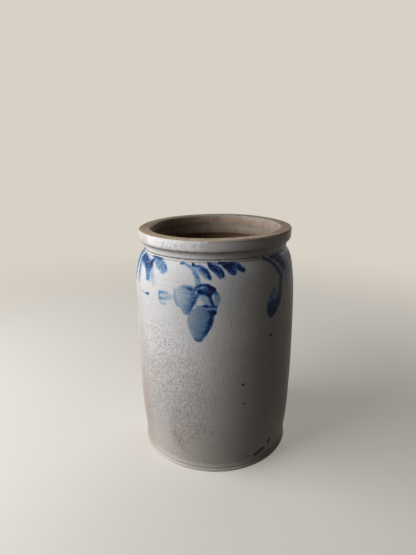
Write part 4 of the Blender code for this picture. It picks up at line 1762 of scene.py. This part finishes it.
@dataclass(frozen=True)
class Studio:
    """Floor, background, lamps and the camera at the photograph's place."""

    floor_reach: float = 12.0
    floor_colour: Paint = srgb(232, 229, 223)
    floor_bounce: Paint = srgb(120, 112, 102)
    sky_colour: Paint = srgb(216, 209, 198)
    ambient: float = 0.020
    floor_glow: float = 0.34
    floor_roughness: float = 0.9
    fade_start: float = 0.30
    fade_end: float = 1.20
    lamps: tuple[Lamp, ...] = (
        Lamp("key", (-0.95, -0.25, 0.66), (0.0, 0.0, 0.17), (1.05, 0.95), 18.0, (1.0, 1.0, 1.0)),
        Lamp("fill", (0.5, -1.6, 1.2), (0.0, 0.0, 0.12), (1.4, 1.4), 0.4, (1.0, 0.97, 0.93)),
        Lamp("back", (0.55, 1.6, 0.7), (0.0, 0.0, 0.15), (1.2, 1.0), 9.0, (1.0, 0.99, 0.97)),
    )
    camera_place: Triple = (0.0, -0.5455, 0.3879)
    camera_pitch: float = 16.84
    camera_yaw: float = 0.94
    camera_roll: float = -0.35
    focal_pixels: float = 435.0
    frame_height: float = 555.0
    sensor: float = 36.0
    near_clip: float = 0.01

    def build(self) -> None:
        """Adds everything that is not the object."""
        self._floor()
        self._world()
        for lamp in self.lamps:
            self._light(lamp)
        self._camera()
        bpy.context.scene.view_settings.view_transform = "Standard"

    def _seen(self, sheet: NodeSheet) -> Socket:
        """Tells what is seen from light that only passes between surfaces.

        Args:
            sheet: the nodes of the floor or the background.

        Returns:
            1 for a ray from the camera, in a reflection or through glass, and 0 for any other.
        """
        path = sheet.add("ShaderNodeLightPath")
        mirrored = sheet.math("MAXIMUM", path.outputs["Is Glossy Ray"], path.outputs["Is Transmission Ray"])
        return sheet.math("MAXIMUM", path.outputs["Is Camera Ray"], mirrored)

    def _floor(self) -> None:
        """A plain pale floor that takes the shadow and fades into the background."""
        reach = self.floor_reach
        mesh = bpy.data.meshes.new("floor")
        corners = [(-reach, -reach, 0.0), (reach, -reach, 0.0), (reach, reach, 0.0), (-reach, reach, 0.0)]
        mesh.from_pydata(corners, [], [(0, 1, 2, 3)])
        floor = link("floor", mesh)
        mesh.materials.append(self._floor_paint())

    def _floor_paint(self) -> bpy.types.Material:
        """Pale paint near the object that fades into the background's own colour with distance.

        Returns:
            The material.
        """
        material, sheet, shader = new_material("floor_paint")
        sheet.feed(shader.inputs["Base Color"], self.floor_colour)
        sheet.feed(shader.inputs["Roughness"], self.floor_roughness)
        sheet.feed(shader.inputs["Specular IOR Level"], 0.0)
        glow = sheet.add("ShaderNodeEmission", {"Color": self.sky_colour}).outputs[0]
        bounce = sheet.add("ShaderNodeBsdfDiffuse", {"Color": self.floor_bounce}).outputs[0]
        distance = sheet.length(sheet.place())
        share = sheet.span(distance, self.fade_start, self.fade_end, self.floor_glow, 1.0)
        faded = sheet.add("ShaderNodeMixShader", (share, shader.outputs[0], glow)).outputs[0]
        chosen = sheet.add("ShaderNodeMixShader", (self._seen(sheet), bounce, faded)).outputs[0]
        sheet.feed(material.node_tree.nodes["Material Output"].inputs["Surface"], chosen)
        return material

    def _world(self) -> None:
        """A pale background for the camera and a dim light from all round for the object."""
        world = bpy.data.worlds.new("studio")
        world.use_nodes = True
        bpy.context.scene.world = world
        sheet = NodeSheet(world.node_tree)
        background = world.node_tree.nodes["Background"]
        sheet.feed(background.inputs["Color"], self.sky_colour)
        sheet.feed(background.inputs["Strength"], sheet.span(self._seen(sheet), 0.0, 1.0, self.ambient, 1.0))

    def _light(self, lamp: Lamp) -> None:
        """Adds one lamp.

        Args:
            lamp: its place, size and light.
        """
        data = bpy.data.lights.new(lamp.name, "AREA")
        data.shape = "RECTANGLE"
        data.size, data.size_y = lamp.size
        data.energy = lamp.watts
        data.color = lamp.colour
        made = link(lamp.name, data)
        made.location = lamp.place
        made.rotation_euler = (Vector(lamp.aim) - Vector(lamp.place)).to_track_quat("-Z", "Y").to_euler()

    def _camera(self) -> None:
        """The camera that was fitted to the photograph."""
        data = bpy.data.cameras.new("camera")
        data.sensor_width = self.sensor
        data.lens = self.focal_pixels / self.frame_height * self.sensor
        data.clip_start = self.near_clip
        camera = link("camera", data)
        camera.location = self.camera_place
        level = Euler((math.radians(90.0 - self.camera_pitch), 0.0, math.radians(self.camera_yaw)))
        roll = Quaternion((0.0, 0.0, 1.0), math.radians(self.camera_roll))
        camera.rotation_euler = (level.to_quaternion() @ roll).to_euler()
        bpy.context.scene.camera = camera


def main() -> None:
    """Builds the scene, piece by piece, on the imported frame."""
    logging.basicConfig(level=logging.INFO, format="%(message)s")
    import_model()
    Studio().build()
    crock = Crock()
    crock.dress(crock.build())
    Follower().build()
    Weights().build()


if __name__ == "__main__":
    main()
